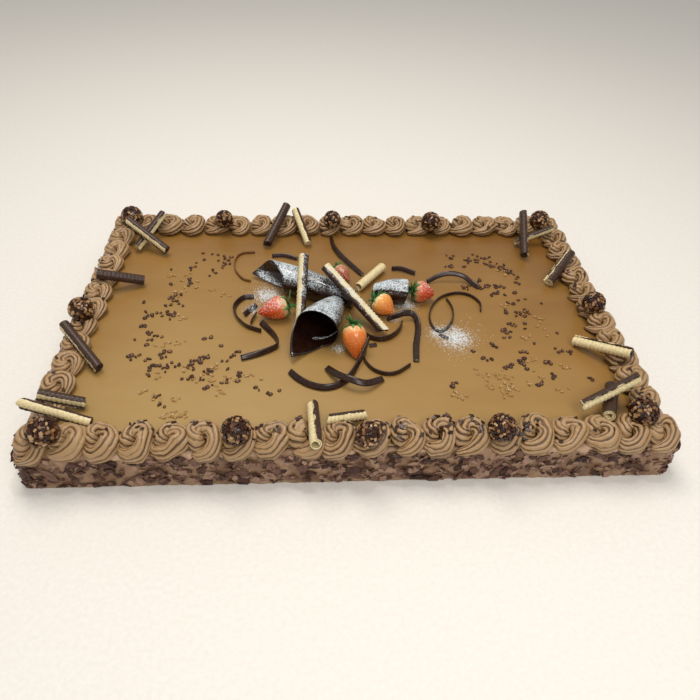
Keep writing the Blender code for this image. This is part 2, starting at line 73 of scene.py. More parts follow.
MM = 0.001
TABLE_REACH = 4
LAMPS = {
    "lamp_overhead": ((-0.2, 0.35, 1.5), 0.7, 11, "#fff6ea"),
    "lamp_front": ((0.3, -1.0, 1.2), 0.6, 8, "#fffaf4"),
    "lamp_glint": ((0.1, -0.05, 1.3), 0.12, 2, "#ffffff"),
}
WALL_COLOUR, WALL_STRENGTH = "#e6e4e0", 0.55
CAMERA_PLACE = Vector((-0.037, -0.540, 0.4685))
CAMERA_TURN, CAMERA_DIP, CAMERA_ROLL = (math.radians(angle) for angle in (4.59, 41.71, 2.57))
FRAME_PIXELS, FOCAL_PIXELS, SENSOR_MM = 700, 609, 36


def paint(code):
    """A colour from its sRGB hex code, in the linear values that shaders work in."""
    parts = [int(code[i:i + 2], 16) / 255 for i in (1, 3, 5)]
    return (*[p / 12.92 if p <= 0.04045 else ((p + 0.055) / 1.055) ** 2.4 for p in parts], 1)


def set_inputs(node, inputs):
    """Sets sockets of a shader node, each to a value, a socket or another node's first output."""
    for socket, value in inputs:
        if isinstance(value, bpy.types.Node):
            value = value.outputs[0]
        if isinstance(value, bpy.types.NodeSocket):
            node.id_data.links.new(value, node.inputs[socket])
        else:
            node.inputs[socket].default_value = value


def add_node(tree, kind, inputs=(), stops=(), **settings):
    """Adds a shader node. Stops are the places and hex codes of a colour ramp. Noise that is
    given no place of its own lies in real metres, so its scale is one over the size wanted."""
    made = tree.nodes.new(kind)
    if kind == "ShaderNodeTexNoise" and "Vector" not in dict(inputs):
        place = tree.nodes.new("ShaderNodeTexCoord").outputs["Object"]
        tree.links.new(place, made.inputs["Vector"])
    for name, value in settings.items():
        setattr(made, name, value)
    for index, (position, code) in enumerate(stops):
        ramp = made.color_ramp.elements
        stop = ramp[index] if index < 2 else ramp.new(position)
        stop.position, stop.color = position, paint(code)
    set_inputs(made, inputs)
    return made


def new_material(name, **sockets):
    """A material, its node tree and its Principled shader, with plain sockets given by name."""
    material = bpy.data.materials.new(name)
    material.use_nodes = True
    shader = material.node_tree.nodes["Principled BSDF"]
    set_inputs(shader, [(socket.replace("_", " "), value) for socket, value in sockets.items()])
    return material, material.node_tree, shader


def mottled(name, grain, detail, stops, tone_noise=None, relief=None, fineness=0.5, **sockets):
    """A material coloured by a ramp over noise, whose grain has a real size. With tone_noise
    the ramp follows each point's tone, plus that share of the noise. Relief is the depth and
    the strength of the bumps that the noise makes."""
    material, tree, shader = new_material(name, **sockets)
    speckle = add_node(tree, "ShaderNodeTexNoise", [
        ("Scale", 1 / grain), ("Detail", detail), ("Roughness", fineness)])
    factor = speckle
    if tone_noise is not None:
        tone = add_node(tree, "ShaderNodeAttribute", attribute_name="tone").outputs["Fac"]
        factor = add_node(tree, "ShaderNodeMath", [(0, speckle), (1, tone_noise), (2, tone)],
                          operation="MULTIPLY_ADD")
    set_inputs(shader, [("Base Color", add_node(tree, "ShaderNodeValToRGB", [("Fac", factor)], stops))])
    if relief:
        distance, strength = relief
        set_inputs(shader, [("Normal", add_node(tree, "ShaderNodeBump", [
            ("Height", speckle), ("Distance", distance), ("Strength", strength)]))])
    return material


def in_scene(name, data):
    """A new object in the scene."""
    made = bpy.data.objects.new(name, data)
    bpy.context.scene.collection.objects.link(made)
    return made


# White laminate is matt, so it shows soft shadows and no glare.
laminate = mottled("white_laminate", 4 * MM, 4, [(0.3, "#e9e6e0"), (0.7, "#f0ede8")], Roughness=0.75)

table_mesh = bpy.data.meshes.new("table")
table_corners = [(x * TABLE_REACH, y * TABLE_REACH, 0) for x, y in ((-1, -1), (1, -1), (1, 1), (-1, 1))]
table_mesh.from_pydata(table_corners, [], [(0, 1, 2, 3)])
table_mesh.materials.append(laminate)
in_scene("table", table_mesh)

for name, (place, width, watts, colour) in LAMPS.items():
    light = bpy.data.lights.new(name, "AREA")
    light.size, light.energy, light.color = width, watts, paint(colour)[:3]
    lamp = in_scene(name, light)
    lamp.location = place
    lamp.rotation_euler = (-Vector(place)).to_track_quat("-Z", "Y").to_euler()

walls = bpy.data.worlds.new("pale_walls")
walls.use_nodes = True
set_inputs(walls.node_tree.nodes["Background"], [
    ("Color", paint(WALL_COLOUR)), ("Strength", WALL_STRENGTH)])
bpy.context.scene.world = walls
bpy.context.scene.view_settings.view_transform = "Standard"

ahead = Vector((math.sin(CAMERA_TURN) * math.cos(CAMERA_DIP),
                math.cos(CAMERA_TURN) * math.cos(CAMERA_DIP), -math.sin(CAMERA_DIP)))
level = Vector((math.cos(CAMERA_TURN), -math.sin(CAMERA_TURN), 0))
upward = level.cross(ahead)
right = level * math.cos(CAMERA_ROLL) + upward * math.sin(CAMERA_ROLL)
top = upward * math.cos(CAMERA_ROLL) - level * math.sin(CAMERA_ROLL)
view = bpy.data.cameras.new("photo_view")
view.sensor_width = SENSOR_MM
view.lens = SENSOR_MM * FOCAL_PIXELS / FRAME_PIXELS
camera = in_scene("photo_view", view)
facing = Matrix((right, top, -ahead)).transposed().to_4x4()
camera.matrix_world = Matrix.Translation(CAMERA_PLACE) @ facing
bpy.context.scene.camera = camera


# Cake sides. A coat of tan buttercream is spread round the sponge, and torn shavings of dark
# chocolate are pressed into it by hand while it is soft. The cream shows between them, is
# smeared down over them here and there from the top, and turns in under the border.

CAKE_LENGTH, CAKE_WIDTH, SLAB_HEIGHT = 0.6, 0.4, 0.04
SIDE_SETBACK, SIDE_CORNER, SIDE_DIP, SIDE_LIMIT = 1.8 * MM, 6 * MM, 2 * MM, 3 * MM
SIDE_ROUND = 2 * (CAKE_LENGTH + CAKE_WIDTH) - 8 * SIDE_SETBACK - (8 - 2 * math.pi) * SIDE_CORNER
NOISE_STEPS = (7.1, 3.7, 5.3)


def add_piece(name, points, faces, material, tones=None, dust=None, smooth=True, replaced=()):
    """A piece of the cake. Its material may ask for a tone at each point, from a list, or for
    how much sugar lies there, which is worked out from the points and their upward slopes."""
    mesh = bpy.data.meshes.new(name)
    mesh.from_pydata(np.asarray(points).tolist(), [], faces)
    shell = bmesh.new()
    shell.from_mesh(mesh)
    bmesh.ops.recalc_face_normals(shell, faces=shell.faces)
    shell.to_mesh(mesh)
    shell.free()
    mesh.materials.append(material)
    if dust:
        dust = dust(np.asarray(points), np.array([corner.normal.z for corner in mesh.vertices]))
    for label, numbers in (("tone", tones), ("dust", dust)):
        if numbers is not None:
            layer = mesh.attributes.new(label, "FLOAT", "POINT")
            layer.data.foreach_set("value", np.asarray(numbers, dtype=np.float32))
    if smooth:
        mesh.shade_smooth()
    piece = in_scene(name, mesh)
    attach(piece, "root")
    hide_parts(*replaced)


def tube_faces(count, sides, first=0, capped=True):
    """Faces of a tube whose rings of points follow one another, with or without end caps."""
    last = first + (count - 1) * sides
    faces = []
    for near in range(first, last, sides):
        far = near + sides
        faces += [(near + side, near + (side + 1) % sides, far + (side + 1) % sides, far + side)
                  for side in range(sides)]
    if capped:
        faces += [tuple(range(first, first + sides))[::-1], tuple(range(last, last + sides))]
    return faces


def sheet_grid(columns, rows):
    """Places across and up one side of a sheet, from -1 to 1, in the order of its points."""
    across, up = np.meshgrid(np.linspace(-1, 1, columns), np.linspace(-1, 1, rows))
    return across.ravel(), up.ravel()


def sheet_faces(columns, rows, first=0):
    """Faces of a thin closed sheet. Its two sides are grids of points, one after the other."""
    grid = rows * columns
    corners = [row * columns + col for row in range(rows - 1) for col in range(columns - 1)]
    front = [(corner, corner + 1, corner + columns + 1, corner + columns) for corner in corners]
    rim = [*range(columns - 1), *range(columns - 1, grid - 1, columns),
           *range(grid - 1, grid - columns, -1), *range(grid - columns, 0, -columns)]
    faces = front + [tuple(grid + corner for corner in quad[::-1]) for quad in front]
    faces += [(a, grid + a, grid + b, b) for a, b in zip(rim, rim[1:] + rim[:1])]
    return [tuple(first + corner for corner in face) for face in faces]


def turned(x, y, angle):
    """Places after a turn round the origin."""
    return x * math.cos(angle) - y * math.sin(angle), x * math.sin(angle) + y * math.cos(angle)


def side_spots(distance):
    """Places round the cake's outline, and the way out of it, for distances along it."""
    half_x = CAKE_LENGTH / 2 - SIDE_SETBACK - SIDE_CORNER
    half_y = CAKE_WIDTH / 2 - SIDE_SETBACK - SIDE_CORNER
    bend = math.pi / 2 * SIDE_CORNER
    runs = ((2 * half_x, (-half_x, -half_y), -90), (2 * half_y, (half_x, -half_y), 0),
            (2 * half_x, (half_x, half_y), 90), (2 * half_y, (-half_x, half_y), 180))
    around = np.mod(distance, SIDE_ROUND)
    spots, outs = np.zeros((len(around), 2)), np.zeros((len(around), 2))
    start = 0
    for length, corner, heading in runs:
        along = np.array([-math.sin(math.radians(heading)), math.cos(math.radians(heading))])
        for stretch, is_bend in ((length, False), (bend, True)):
            here = (around >= start) & (around < start + stretch)
            share = around[here] - start
            turn = np.radians(heading + 90 / bend * share * is_bend)
            way = np.stack([np.cos(turn), np.sin(turn)], -1)
            base = np.array(corner) + along * (length if is_bend else share[:, None])
            spots[here], outs[here] = base + way * SIDE_CORNER, way
            start += stretch
    return spots, outs


def bumps(points, size, seed):
    """Smooth noise from -1 to 1 at many points, with bumps of about the given size."""
    shift = Vector([seed * step for step in NOISE_STEPS])
    return np.array([noise.noise(Vector(point) / size + shift) for point in points])


def waves(points, layers):
    """Noise summed from layers, each its height, the size of its bumps in mm and its seed."""
    return sum(height * bumps(points, size * MM, seed) for height, size, seed in layers)


# How far cream is smeared down, over a length of the side, and how the smear stands out.
SMEAR_WAVES, LONGEST_SMEAR = ((7, 27, 8), (4, 9, 9), (2, 3.5, 10)), 11
SMEAR_DEPTH, SMEAR_RISE, FULL_SMEAR = 2.9 * MM, 1.8 * MM, 3


def smear_length(around):
    """How far, in millimetres, the cream is smeared down the side from its upper edge."""
    line = np.stack([around, 0 * around, 0 * around], -1)
    return np.clip(waves(line, SMEAR_WAVES), 0, LONGEST_SMEAR)


# The coat is rows of points up the side, then rows given by height and push that turn it in.
COAT_COLUMNS, COAT_STRETCH, COAT_WAVES = 900, 1.6, ((1.1, 14, 1), (0.6, 4.5, 2))
COAT_LEVELS = np.concatenate([np.linspace(0, 26, 11), np.linspace(27, 40, 15)]) * MM
COAT_TURN_IN = ((41.6, -0.6), (42.2, -3), (42.2, -5.6), (40, -6.2))
FOOT_DEPTH, FOOT_HEIGHT = 1.3 * MM, 2.5 * MM
COAT_TONE, TONE_WAVES, SMEAR_TONE, FOOT_TONE = 0.4, ((0.6, 22, 3),), 0.45, 0.5

around = np.arange(COAT_COLUMNS) * SIDE_ROUND / COAT_COLUMNS
smear = smear_length(around)
spots, outs = side_spots(around)
coat_points, coat_tones = [], []
for height in COAT_LEVELS:
    unrolled = np.stack([around, 0 * around + height * COAT_STRETCH, 0 * around], -1)
    above = height - SLAB_HEIGHT + smear * MM
    lip = SMEAR_DEPTH * np.clip(smear / FULL_SMEAR, 0, 1) * np.sqrt(np.clip(above / SMEAR_RISE, 0, 1))
    foot = FOOT_DEPTH * max(0, 1 - height / FOOT_HEIGHT)
    push = np.clip(MM * waves(unrolled, COAT_WAVES) + lip + foot, -SIDE_DIP, SIDE_LIMIT)
    coat_points.append(np.c_[spots + outs * push[:, None], 0 * around + height])
    pale = COAT_TONE + waves(unrolled, TONE_WAVES) + SMEAR_TONE * (lip > 0) + FOOT_TONE * (foot > 0)
    coat_tones.append(np.clip(pale, 0, 1))
for height, push in COAT_TURN_IN:
    coat_points.append(np.c_[spots + outs * push * MM, 0 * around + height * MM])
    coat_tones.append(coat_tones[-1])

# Buttercream spread with a knife is satin and faintly rough, paler where it lies thick.
coat_cream = mottled("tan_buttercream_coat", 3 * MM, 5,
                     [(0.1, "#664731"), (0.6, "#8f6f54"), (1, "#b7977a")], 0.4, (0.8 * MM, 0.6),
                     Roughness=0.5, Subsurface_Weight=0.1, Subsurface_Scale=3 * MM)
add_piece("buttercream_coat", np.concatenate(coat_points), tube_faces(len(coat_points), COAT_COLUMNS),
          coat_cream, np.concatenate(coat_tones), replaced=["cake_slab"])

# Shavings: how wide they are (middle size, spread and limits), how tall as a share of that,
# how ragged their ends are, how they lean and spin in degrees, and how they lift and curl.
SHAVING_COUNT, SHAVING_COLUMNS, SHAVING_ROWS, SHAVING_THICKNESS = 2100, 5, 4, 0.5 * MM
WIDTH_MIDDLE, WIDTH_SPREAD, WIDTH_LIMITS = 7.5 * MM, 0.45, (3 * MM, 20 * MM)
TALL_SHARE, TALL_LIMITS, TIP_SHARE, TIP_POWER = (0.35, 0.85), (2.4 * MM, 9 * MM), 0.2, (1.4, 5)
RAGGED_LENGTH, RAGGED_HEIGHT, SHAVING_LEAN, SHAVING_SPIN = (0.75, 1.15), (0.6, 1.25), (6, 20), (0, 45)
SHAVING_LIFT, SHAVING_CURL, CRINKLE, SHAVING_DIP = (0.1, 2), (-0.25, 0.5), 0.03, 1.2 * MM
SHAVING_HEIGHTS, SHAVING_FLOOR, SMEAR_OVERLAP = (1.5 * MM, 38 * MM), 0.9 * MM, 0.8 * MM
HEIGHT_SHARES, TONE_SHARES = (0.9, 1), (1.6, 1.8)

draw = random.Random(5)
across, up = sheet_grid(SHAVING_COLUMNS, SHAVING_ROWS)
shaving_points, shaving_faces, shaving_tones = [], [], []
for _ in range(SHAVING_COUNT):
    width = np.clip(draw.lognormvariate(math.log(WIDTH_MIDDLE), WIDTH_SPREAD), *WIDTH_LIMITS)
    tall = np.clip(width * draw.uniform(*TALL_SHARE), *TALL_LIMITS)
    taper = TIP_SHARE + (1 - TIP_SHARE) * (1 - np.abs(across) ** draw.uniform(*TIP_POWER))
    x = across * width / 2 * [draw.uniform(*RAGGED_LENGTH) for _ in across]
    y = up * tall / 2 * taper * [draw.uniform(*RAGGED_HEIGHT) for _ in across]
    lean, spin = math.radians(draw.gauss(*SHAVING_LEAN)), math.radians(draw.gauss(*SHAVING_SPIN))
    lift = draw.uniform(*SHAVING_LIFT) * MM + math.sin(lean) * y
    lift += draw.uniform(*SHAVING_CURL) * up**2 * tall / 2
    lift = np.clip(lift + [draw.gauss(0, CRINKLE) * width for _ in across], -SHAVING_DIP, SIDE_LIMIT)
    along, rise = turned(x, y, spin)
    away = draw.uniform(0, SIDE_ROUND) + along
    rise += SHAVING_HEIGHTS[0] + draw.betavariate(*HEIGHT_SHARES) * SHAVING_HEIGHTS[1]
    ceiling = SLAB_HEIGHT - smear_length(away) * MM + SMEAR_OVERLAP
    spots, outs = side_spots(away)
    for depth in (0, SHAVING_THICKNESS):
        shaving_points.append(np.c_[spots + outs * (lift + depth)[:, None],
                                    np.clip(rise, SHAVING_FLOOR, ceiling)])
    shaving_faces += sheet_faces(SHAVING_COLUMNS, SHAVING_ROWS, len(shaving_tones))
    shaving_tones += [draw.betavariate(*TONE_SHARES)] * (2 * len(across))

# Scraped dark chocolate is dull and dusty, greyed brown where the scraper tore it.
shaved = mottled(
    "shaved_dark_chocolate", 2.5 * MM, 6,
    [(0.25, "#331c15"), (0.6, "#52352b"), (0.85, "#785749"), (1, "#a3836f")],
    0.45, (0.8 * MM, 0.7), 0.65, Roughness=0.42, Specular_IOR_Level=0.35)
add_piece("chocolate_shavings", np.concatenate(shaving_points), shaving_faces, shaved,
          shaving_tones, smooth=False)


# Icing. A thin layer of caramel-brown chocolate icing is poured on and drawn level with a long
# knife, so it is smooth and softly glossy, with faint strokes and painted shade at its edges.
# Small dimpled chocolate buttons and torn gold-brown flakes are strewn over it while it sets.

ICING_FLOOR, ICING_TOP, ICING_DROP, TOP = 40.3 * MM, 41.7 * MM, 0.1 * MM, 42 * MM
ICING_X, ICING_Y, ICING_COLUMNS, ICING_ROWS = 292 * MM, 192 * MM, 85, 57
ICING_SWELLS = ((0.2, 2.2, 90, 4), (0.05, 3, 20, 5))
SUGAR_SPOTS = ((117, -44, 25), (101, -36, 13), (-92, 34, 19), (-85, 35, 12), (-10, -60, 7),
               (70, 14, 14), (52, -8, 9), (-106, 6, 9))
SUGAR_MOST, SUGAR_NARROW = 0.56, 0.9


def sugar_fall(points, ups):
    """How much icing sugar fell at each place, from the spots where the sieve was tapped."""
    fallen = np.zeros(len(points))
    for x, y, reach in SUGAR_SPOTS:
        far = np.hypot(points[:, 0] - x * MM, points[:, 1] - y * MM) / (reach * MM)
        fallen = np.maximum(fallen, SUGAR_MOST * np.exp(-SUGAR_NARROW * far**2))
    return fallen * np.clip(ups * 2, 0, 1)


def sugared(material, roughness):
    """Icing sugar over a material's own colour. A dust value of 0.2 is bare and 0.8 is white.
    Real grains are a tenth of a millimetre, so they are drawn coarser, in clumps that show."""
    tree = material.node_tree
    shader = tree.nodes["Principled BSDF"]
    colour = shader.inputs["Base Color"].links[0].from_socket
    dust = add_node(tree, "ShaderNodeAttribute", attribute_name="dust").outputs["Fac"]
    clumps = add_node(tree, "ShaderNodeTexNoise", [
        ("Scale", 1 / (1.7 * MM)), ("Detail", 5), ("Roughness", 0.75)])
    depth = add_node(tree, "ShaderNodeMath", [(0, clumps), (1, 1.7), (2, dust)], operation="MULTIPLY_ADD")
    cover = add_node(tree, "ShaderNodeMapRange", [("Value", depth), ("From Min", 1.23), ("From Max", 1.47)])
    white = add_node(tree, "ShaderNodeMix", [(0, cover), (6, colour), (7, paint("#d8e4ec"))],
                     data_type="RGBA")
    rough = add_node(tree, "ShaderNodeMapRange", [("Value", cover), ("To Min", roughness), ("To Max", 0.9)])
    set_inputs(shader, [("Base Color", white.outputs[2]), ("Roughness", rough)])
    return material


across, back = sheet_grid(ICING_COLUMNS, ICING_ROWS)
flat = np.stack([across * ICING_X, back * ICING_Y, 0 * across], -1)
swell = sum(height * MM * bumps(flat * (1, stretch, 1), size * MM, seed)
            for height, stretch, size, seed in ICING_SWELLS)
upper = flat + np.outer(ICING_TOP - ICING_DROP + swell, (0, 0, 1))
under = flat + np.array((0, 0, ICING_FLOOR))

# Set icing has a soft gloss. Its colour is painted darker to the back, to the right and at the
# edges as painted shade, and lighter at the front as a painted sheen; it is clouded along the
# strokes of the knife.
icing, tree, shader = new_material("poured_chocolate_icing", IOR=1.45, Coat_Weight=0.1, Coat_Roughness=0.3)
place = add_node(tree, "ShaderNodeTexCoord").outputs["Object"]
spread = add_node(tree, "ShaderNodeMapping", [("Vector", place), ("Scale", (1, 2.5, 1))])
cloud = add_node(tree, "ShaderNodeTexNoise", [
    ("Vector", spread), ("Scale", 1 / (130 * MM)), ("Detail", 5), ("Roughness", 0.55)])
sides = add_node(tree, "ShaderNodeSeparateXYZ", [("Vector", place)]).outputs
# Painted shade and sheen: darker to the back, to the right and at the side edges, lighter in front.
behind = add_node(tree, "ShaderNodeMapRange", [
    ("Value", sides["Y"]), ("From Min", -170 * MM), ("From Max", 170 * MM), ("To Max", 0.7)])
reach_out = add_node(tree, "ShaderNodeMath", [(0, sides["X"])], operation="ABSOLUTE")
edge = add_node(tree, "ShaderNodeMapRange", [
    ("Value", reach_out), ("From Min", 180 * MM), ("From Max", 290 * MM), ("To Max", 0.2)])
inward = add_node(tree, "ShaderNodeMapRange", [
    ("Value", reach_out), ("From Max", CAKE_LENGTH / 2), ("To Min", 1), ("To Max", 0.7)])
aside = add_node(tree, "ShaderNodeMath", [(0, sides["X"]), (1, 0.5), (2, edge)], operation="MULTIPLY_ADD")
painted_shade = add_node(tree, "ShaderNodeMath", [(0, behind), (1, inward), (2, aside)], operation="MULTIPLY_ADD")
wobble = add_node(tree, "ShaderNodeMath", [(0, cloud), (1, 0.5), (2, painted_shade)], operation="MULTIPLY_ADD")
tint = add_node(tree, "ShaderNodeValToRGB", [("Fac", wobble)],
                [(0.2, "#a5864f"), (0.6, "#95703a"), (1, "#7c5524")])
strokes = add_node(tree, "ShaderNodeTexNoise", [("Vector", spread), ("Scale", 1 / (20 * MM)), ("Detail", 3)])
bump = add_node(tree, "ShaderNodeBump", [("Height", strokes), ("Distance", 0.4 * MM), ("Strength", 0.3)])
set_inputs(shader, [("Base Color", tint), ("Normal", bump)])
add_piece("poured_icing", np.concatenate([upper, under]), sheet_faces(ICING_COLUMNS, ICING_ROWS),
          sugared(icing, 0.36), dust=sugar_fall, replaced=["top_icing"])

# The buttons: those that the solid icing carries, and more along lines where the photo has
# them. A line is its two ends, how far they stray from it, and how many lie along it. Each
# try strays a little further than the last. Rings of a button: share, rise and paleness; the
# pale middle is partly a smear of icing and partly a painted glint.
BUTTON_RADIUS, BUTTON_SIDES, BUTTON_APART, BUTTON_PUSH, BUTTON_GROUP = 2.5 * MM, 12, 3.1 * MM, 0.12, 2.6
BUTTON_RINGS = ((1, -0.1, 0), (1.04, 0.5, 0.1), (0.88, 1, 0.25), (0.62, 0.95, 0.35), (0.36, 0.3, 0.9),
                (0.02, 0.15, 1))
SOLID_BUTTON_RISE, MIDDLE_SHARE = 0.3 * MM, 0.5
BUTTON_SIZE, BUTTON_HEIGHT, BUTTON_LEAN, BUTTON_SHADE = (0.6, 1.1), (0.9, 1.6), 0.14, 0.3
ROUND_SHARE, ROUND_SQUEEZE, FOLDED_SQUEEZE = 0.75, (0.75, 1), (0.4, 0.6)
MIDDLE_TONES, MIDDLE_FILL, OUTLINE_WAVES = (0.1, 0.3, 0.8), 0.9, ((0.12, 2, 9), (0.09, 3, 5))
BUTTON_LINES = (
    ((-140, 113), (-148, 90), 1.6, 8), ((-161, 87), (-156, 78), 1, 4), ((-183, 92), (-188, 80), 1, 3),
    ((-185, 68), (-180, 54), 1.2, 5), ((-198, 32), (-196, 19), 2, 6), ((-185, 14), (-208, 45), 1, 2),
    ((-196, 4), (-193, -8), 1.6, 6), ((-221, -4), (-212, -2), 0.7, 3),
    ((-223, -21), (-214, -19), 0.5, 2), ((-214, -30), (-211, -35), 0.5, 3),
    ((-204, -37), (-198, -40), 0.5, 3), ((-207, -45), (-212, -47), 0.7, 2),
    ((-176, -53), (-139, -38), 0.5, 2), ((-192, -62), (-194, -70), 1.3, 4),
    ((-221, -68), (-219, -73), 1.8, 5), ((-208, -77), (-201, -73), 0.7, 2),
    ((-203, -87), (-192, -84), 0.8, 5), ((-188, -83), (-187, -89), 1.3, 4),
    ((-182, -79), (-176, -84), 0.5, 2), ((-204, -95), (-197, -101), 0.5, 2),
    ((-161, -76), (-158, -90), 1.6, 6), ((-153, -81), (-152, -71), 0.8, 4),
    ((-151, -71), (-144, -74), 1, 3), ((-127, -79), (-116, -69), 1, 5),
    ((-143, -90), (-142, -97), 1.1, 4), ((-166, -105), (-144, -106), 0.8, 3),
    ((-135, -113), (-149, -120), 0.5, 2), ((-126, -107), (-126, -106), 1.8, 3),
    ((-112, -96), (-110, -108), 1.2, 3), ((-100, -113), (-88, -121), 0.4, 2),
    ((-97, -131), (-67, -123), 1, 3), ((-178, -142), (-187, -123), 1.8, 4),
    ((135, 119), (140, 111), 0.5, 2), ((128, 93), (136, 93), 0.8, 3), ((151, 104), (167, 108), 1.3, 5),
    ((172, 107), (192, 114), 1.6, 7), ((181, 99), (193, 91), 1, 5), ((197, 93), (205, 88), 1.6, 6),
    ((208, 81), (215, 66), 1, 7), ((210, 58), (213, 53), 0.7, 2), ((161, 68), (167, 62), 1.2, 3),
    ((159, 50), (176, 52), 2.1, 9), ((143, 46), (151, 51), 1.6, 5), ((182, 52), (189, 50), 0.5, 3),
    ((187, 40), (172, 32), 0.7, 4), ((190, 18), (197, 15), 0.5, 2), ((184, 7), (183, -8), 0.5, 2),
    ((209, 7), (206, -4), 1.1, 4), ((201, -1), (195, -9), 0.7, 3), ((178, -21), (190, -23), 0.8, 4),
    ((176, -29), (172, -45), 0.6, 3), ((233, -47), (228, 23), 0.8, 2), ((224, -65), (238, -70), 0.9, 6),
    ((151, -49), (162, -66), 0.7, 3), ((179, -70), (190, -69), 0.7, 3),
    ((144, -80), (145, -81), 0.9, 2), ((181, -83), (182, -96), 1.1, 5), ((171, -90), (160, -94), 1, 4),
    ((205, -82), (210, -89), 0.7, 3), ((208, -97), (206, -108), 0.8, 3),
    ((194, -112), (187, -119), 0.8, 3), ((110, -112), (99, -117), 0.7, 3),
    ((244, -110), (246, -112), 1, 2),
)


def strewn(draw, ends, stray):
    """A place in millimetres that strays from a line between two ends."""
    start, end = (np.array(place) for place in ends)
    return start + (end - start) * draw.random() + (draw.gauss(0, stray), draw.gauss(0, stray))


draw = random.Random(31)
solid_corners = np.array([corner.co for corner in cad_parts["top_icing"].data.vertices])
button_spots = []
for corner in solid_corners[solid_corners[:, 2] > ICING_TOP + SOLID_BUTTON_RISE]:
    gaps = [np.hypot(*(corner[:2] - group[0])) for group in button_spots]
    if not gaps or min(gaps) > BUTTON_GROUP * BUTTON_RADIUS:
        button_spots.append([corner[:2]])
    else:
        button_spots[int(np.argmin(gaps))].append(corner[:2])
button_spots = [np.mean(group, axis=0) for group in button_spots]
for *ends, stray, count in BUTTON_LINES:
    wanted = len(button_spots) + count
    while len(button_spots) < wanted:
        spot = strewn(draw, ends, stray)
        stray += BUTTON_PUSH
        if all(np.hypot(*(spot * MM - other)) > BUTTON_APART for other in button_spots):
            button_spots.append(spot * MM)

turns = 2 * math.pi * np.arange(BUTTON_SIDES) / BUTTON_SIDES
button_points, button_faces, button_tones = [], [], []
for x, y in button_spots:
    size, height = BUTTON_RADIUS * draw.uniform(*BUTTON_SIZE), draw.uniform(*BUTTON_HEIGHT) * MM
    squeeze = draw.uniform(*(ROUND_SQUEEZE if draw.random() < ROUND_SHARE else FOLDED_SQUEEZE))
    lean, shade, spin = draw.gauss(0, BUTTON_LEAN), draw.uniform(0, BUTTON_SHADE), draw.uniform(0, math.pi)
    middle_smear_and_glint, filled = draw.choice(MIDDLE_TONES), draw.uniform(0, MIDDLE_FILL)
    wavy = sum(much * np.sin(lobes * turns + shift * spin) for much, lobes, shift in OUTLINE_WAVES)
    outline = size * (1 + wavy)
    button_faces += tube_faces(len(BUTTON_RINGS), BUTTON_SIDES, len(button_tones))
    for share, rise, pale in BUTTON_RINGS:
        east, north = turned(outline * share * np.cos(turns), outline * share * squeeze * np.sin(turns),
                             spin)
        rise += (1 - rise) * filled * (share < MIDDLE_SHARE)
        button_points.append(np.c_[x + east, y + north, ICING_TOP + height * rise + lean * east])
        # The pale middle is partly smeared icing and partly a painted glint.
        button_tones += [middle_smear_and_glint * pale + shade] * BUTTON_SIDES

# Moulded chocolate buttons have a dull shine; the paler dimple is partly smeared icing and partly a painted
# glint.
button = mottled("chocolate_buttons", 1 * MM, 3, [(0, "#2f1509"), (0.45, "#4e2a13"), (1, "#8a6134")], 0,
                 (0.3 * MM, 0.5), Roughness=0.32, Coat_Weight=0.3, Coat_Roughness=0.2, Specular_IOR_Level=0.3)
add_piece("chocolate_buttons", np.concatenate(button_points), button_faces, button,
          button_tones)

FLAKE_GRID, FLAKE_THICKNESS, FLAKE_LENGTH, FLAKE_WIDTH = 4, 0.3 * MM, (2.5, 6), (1.6, 3.6)
FLAKE_RAGGED, FLAKE_LIFT, FLAKE_CURL, CURL_POWER = (0.6, 1.1), 0.1, 0.8, 1.5
CURL_ACROSS, CURL_BACK = (0.3, 0.9), (-0.6, 0.6)
FLAKE_LINES = (
    ((-209, 75), (-172, 75), 8, 9), ((-194, 40), (-170, 56), 4, 12), ((-160, 45), (-133, 33), 3, 5),
    ((-182, -2), (-175, -11), 3, 4), ((-195, -51), (-173, -45), 3, 7), ((-203, -54), (-204, -56), 3, 2),
    ((-167, -89), (-160, -92), 2, 4), ((-156, -101), (-114, -107), 4, 18),
    ((-151, -86), (-133, -87), 3, 6), ((-202, -122), (-184, -129), 3, 9),
    ((-179, -151), (-153, -149), 3, 13), ((-193, -106), (-188, -94), 2, 4),
    ((-116, -127), (-138, -119), 2, 4), ((-89, -101), (-107, -97), 3, 4),
    ((-169, -132), (-175, -123), 3, 4), ((218, -54), (215, -2), 3, 7), ((174, 16), (190, 12), 2, 3),
    ((191, -78), (195, -81), 3, 4), ((214, -92), (233, -94), 2, 4), ((190, -100), (192, -109), 2, 5),
    ((126, -99), (165, -105), 4, 16), ((134, -116), (165, -121), 4, 20),
    ((150, -129), (158, -132), 2, 5), ((179, -115), (180, -118), 2, 4),
    ((211, -125), (213, -124), 3, 3), ((85, -130), (119, -135), 3, 6), ((184, 71), (215, 104), 4, 5),
    ((189, -40), (199, -50), 3, 4),
)
across, back = sheet_grid(FLAKE_GRID, FLAKE_GRID)
flake_points, flake_faces, flake_count = [], [], 0
for *ends, stray, count in FLAKE_LINES:
    for _ in range(count):
        spot = strewn(draw, ends, stray)
        length, width = draw.uniform(*FLAKE_LENGTH) * MM, draw.uniform(*FLAKE_WIDTH) * MM
        x = across * length / 2 * [draw.uniform(*FLAKE_RAGGED) for _ in across]
        y = back * width / 2 * [draw.uniform(*FLAKE_RAGGED) for _ in across]
        bent = np.abs(across * draw.uniform(*CURL_ACROSS) + back * draw.uniform(*CURL_BACK))
        curl = (FLAKE_LIFT + FLAKE_CURL * bent**CURL_POWER) * MM
        east, north = turned(x, y, draw.uniform(0, math.pi))
        for depth in (0, FLAKE_THICKNESS):
            flake_points.append(np.c_[spot[0] * MM + east, spot[1] * MM + north, ICING_TOP + curl + depth])
        flake_faces += sheet_faces(FLAKE_GRID, FLAKE_GRID, flake_count)
        flake_count += 2 * len(across)

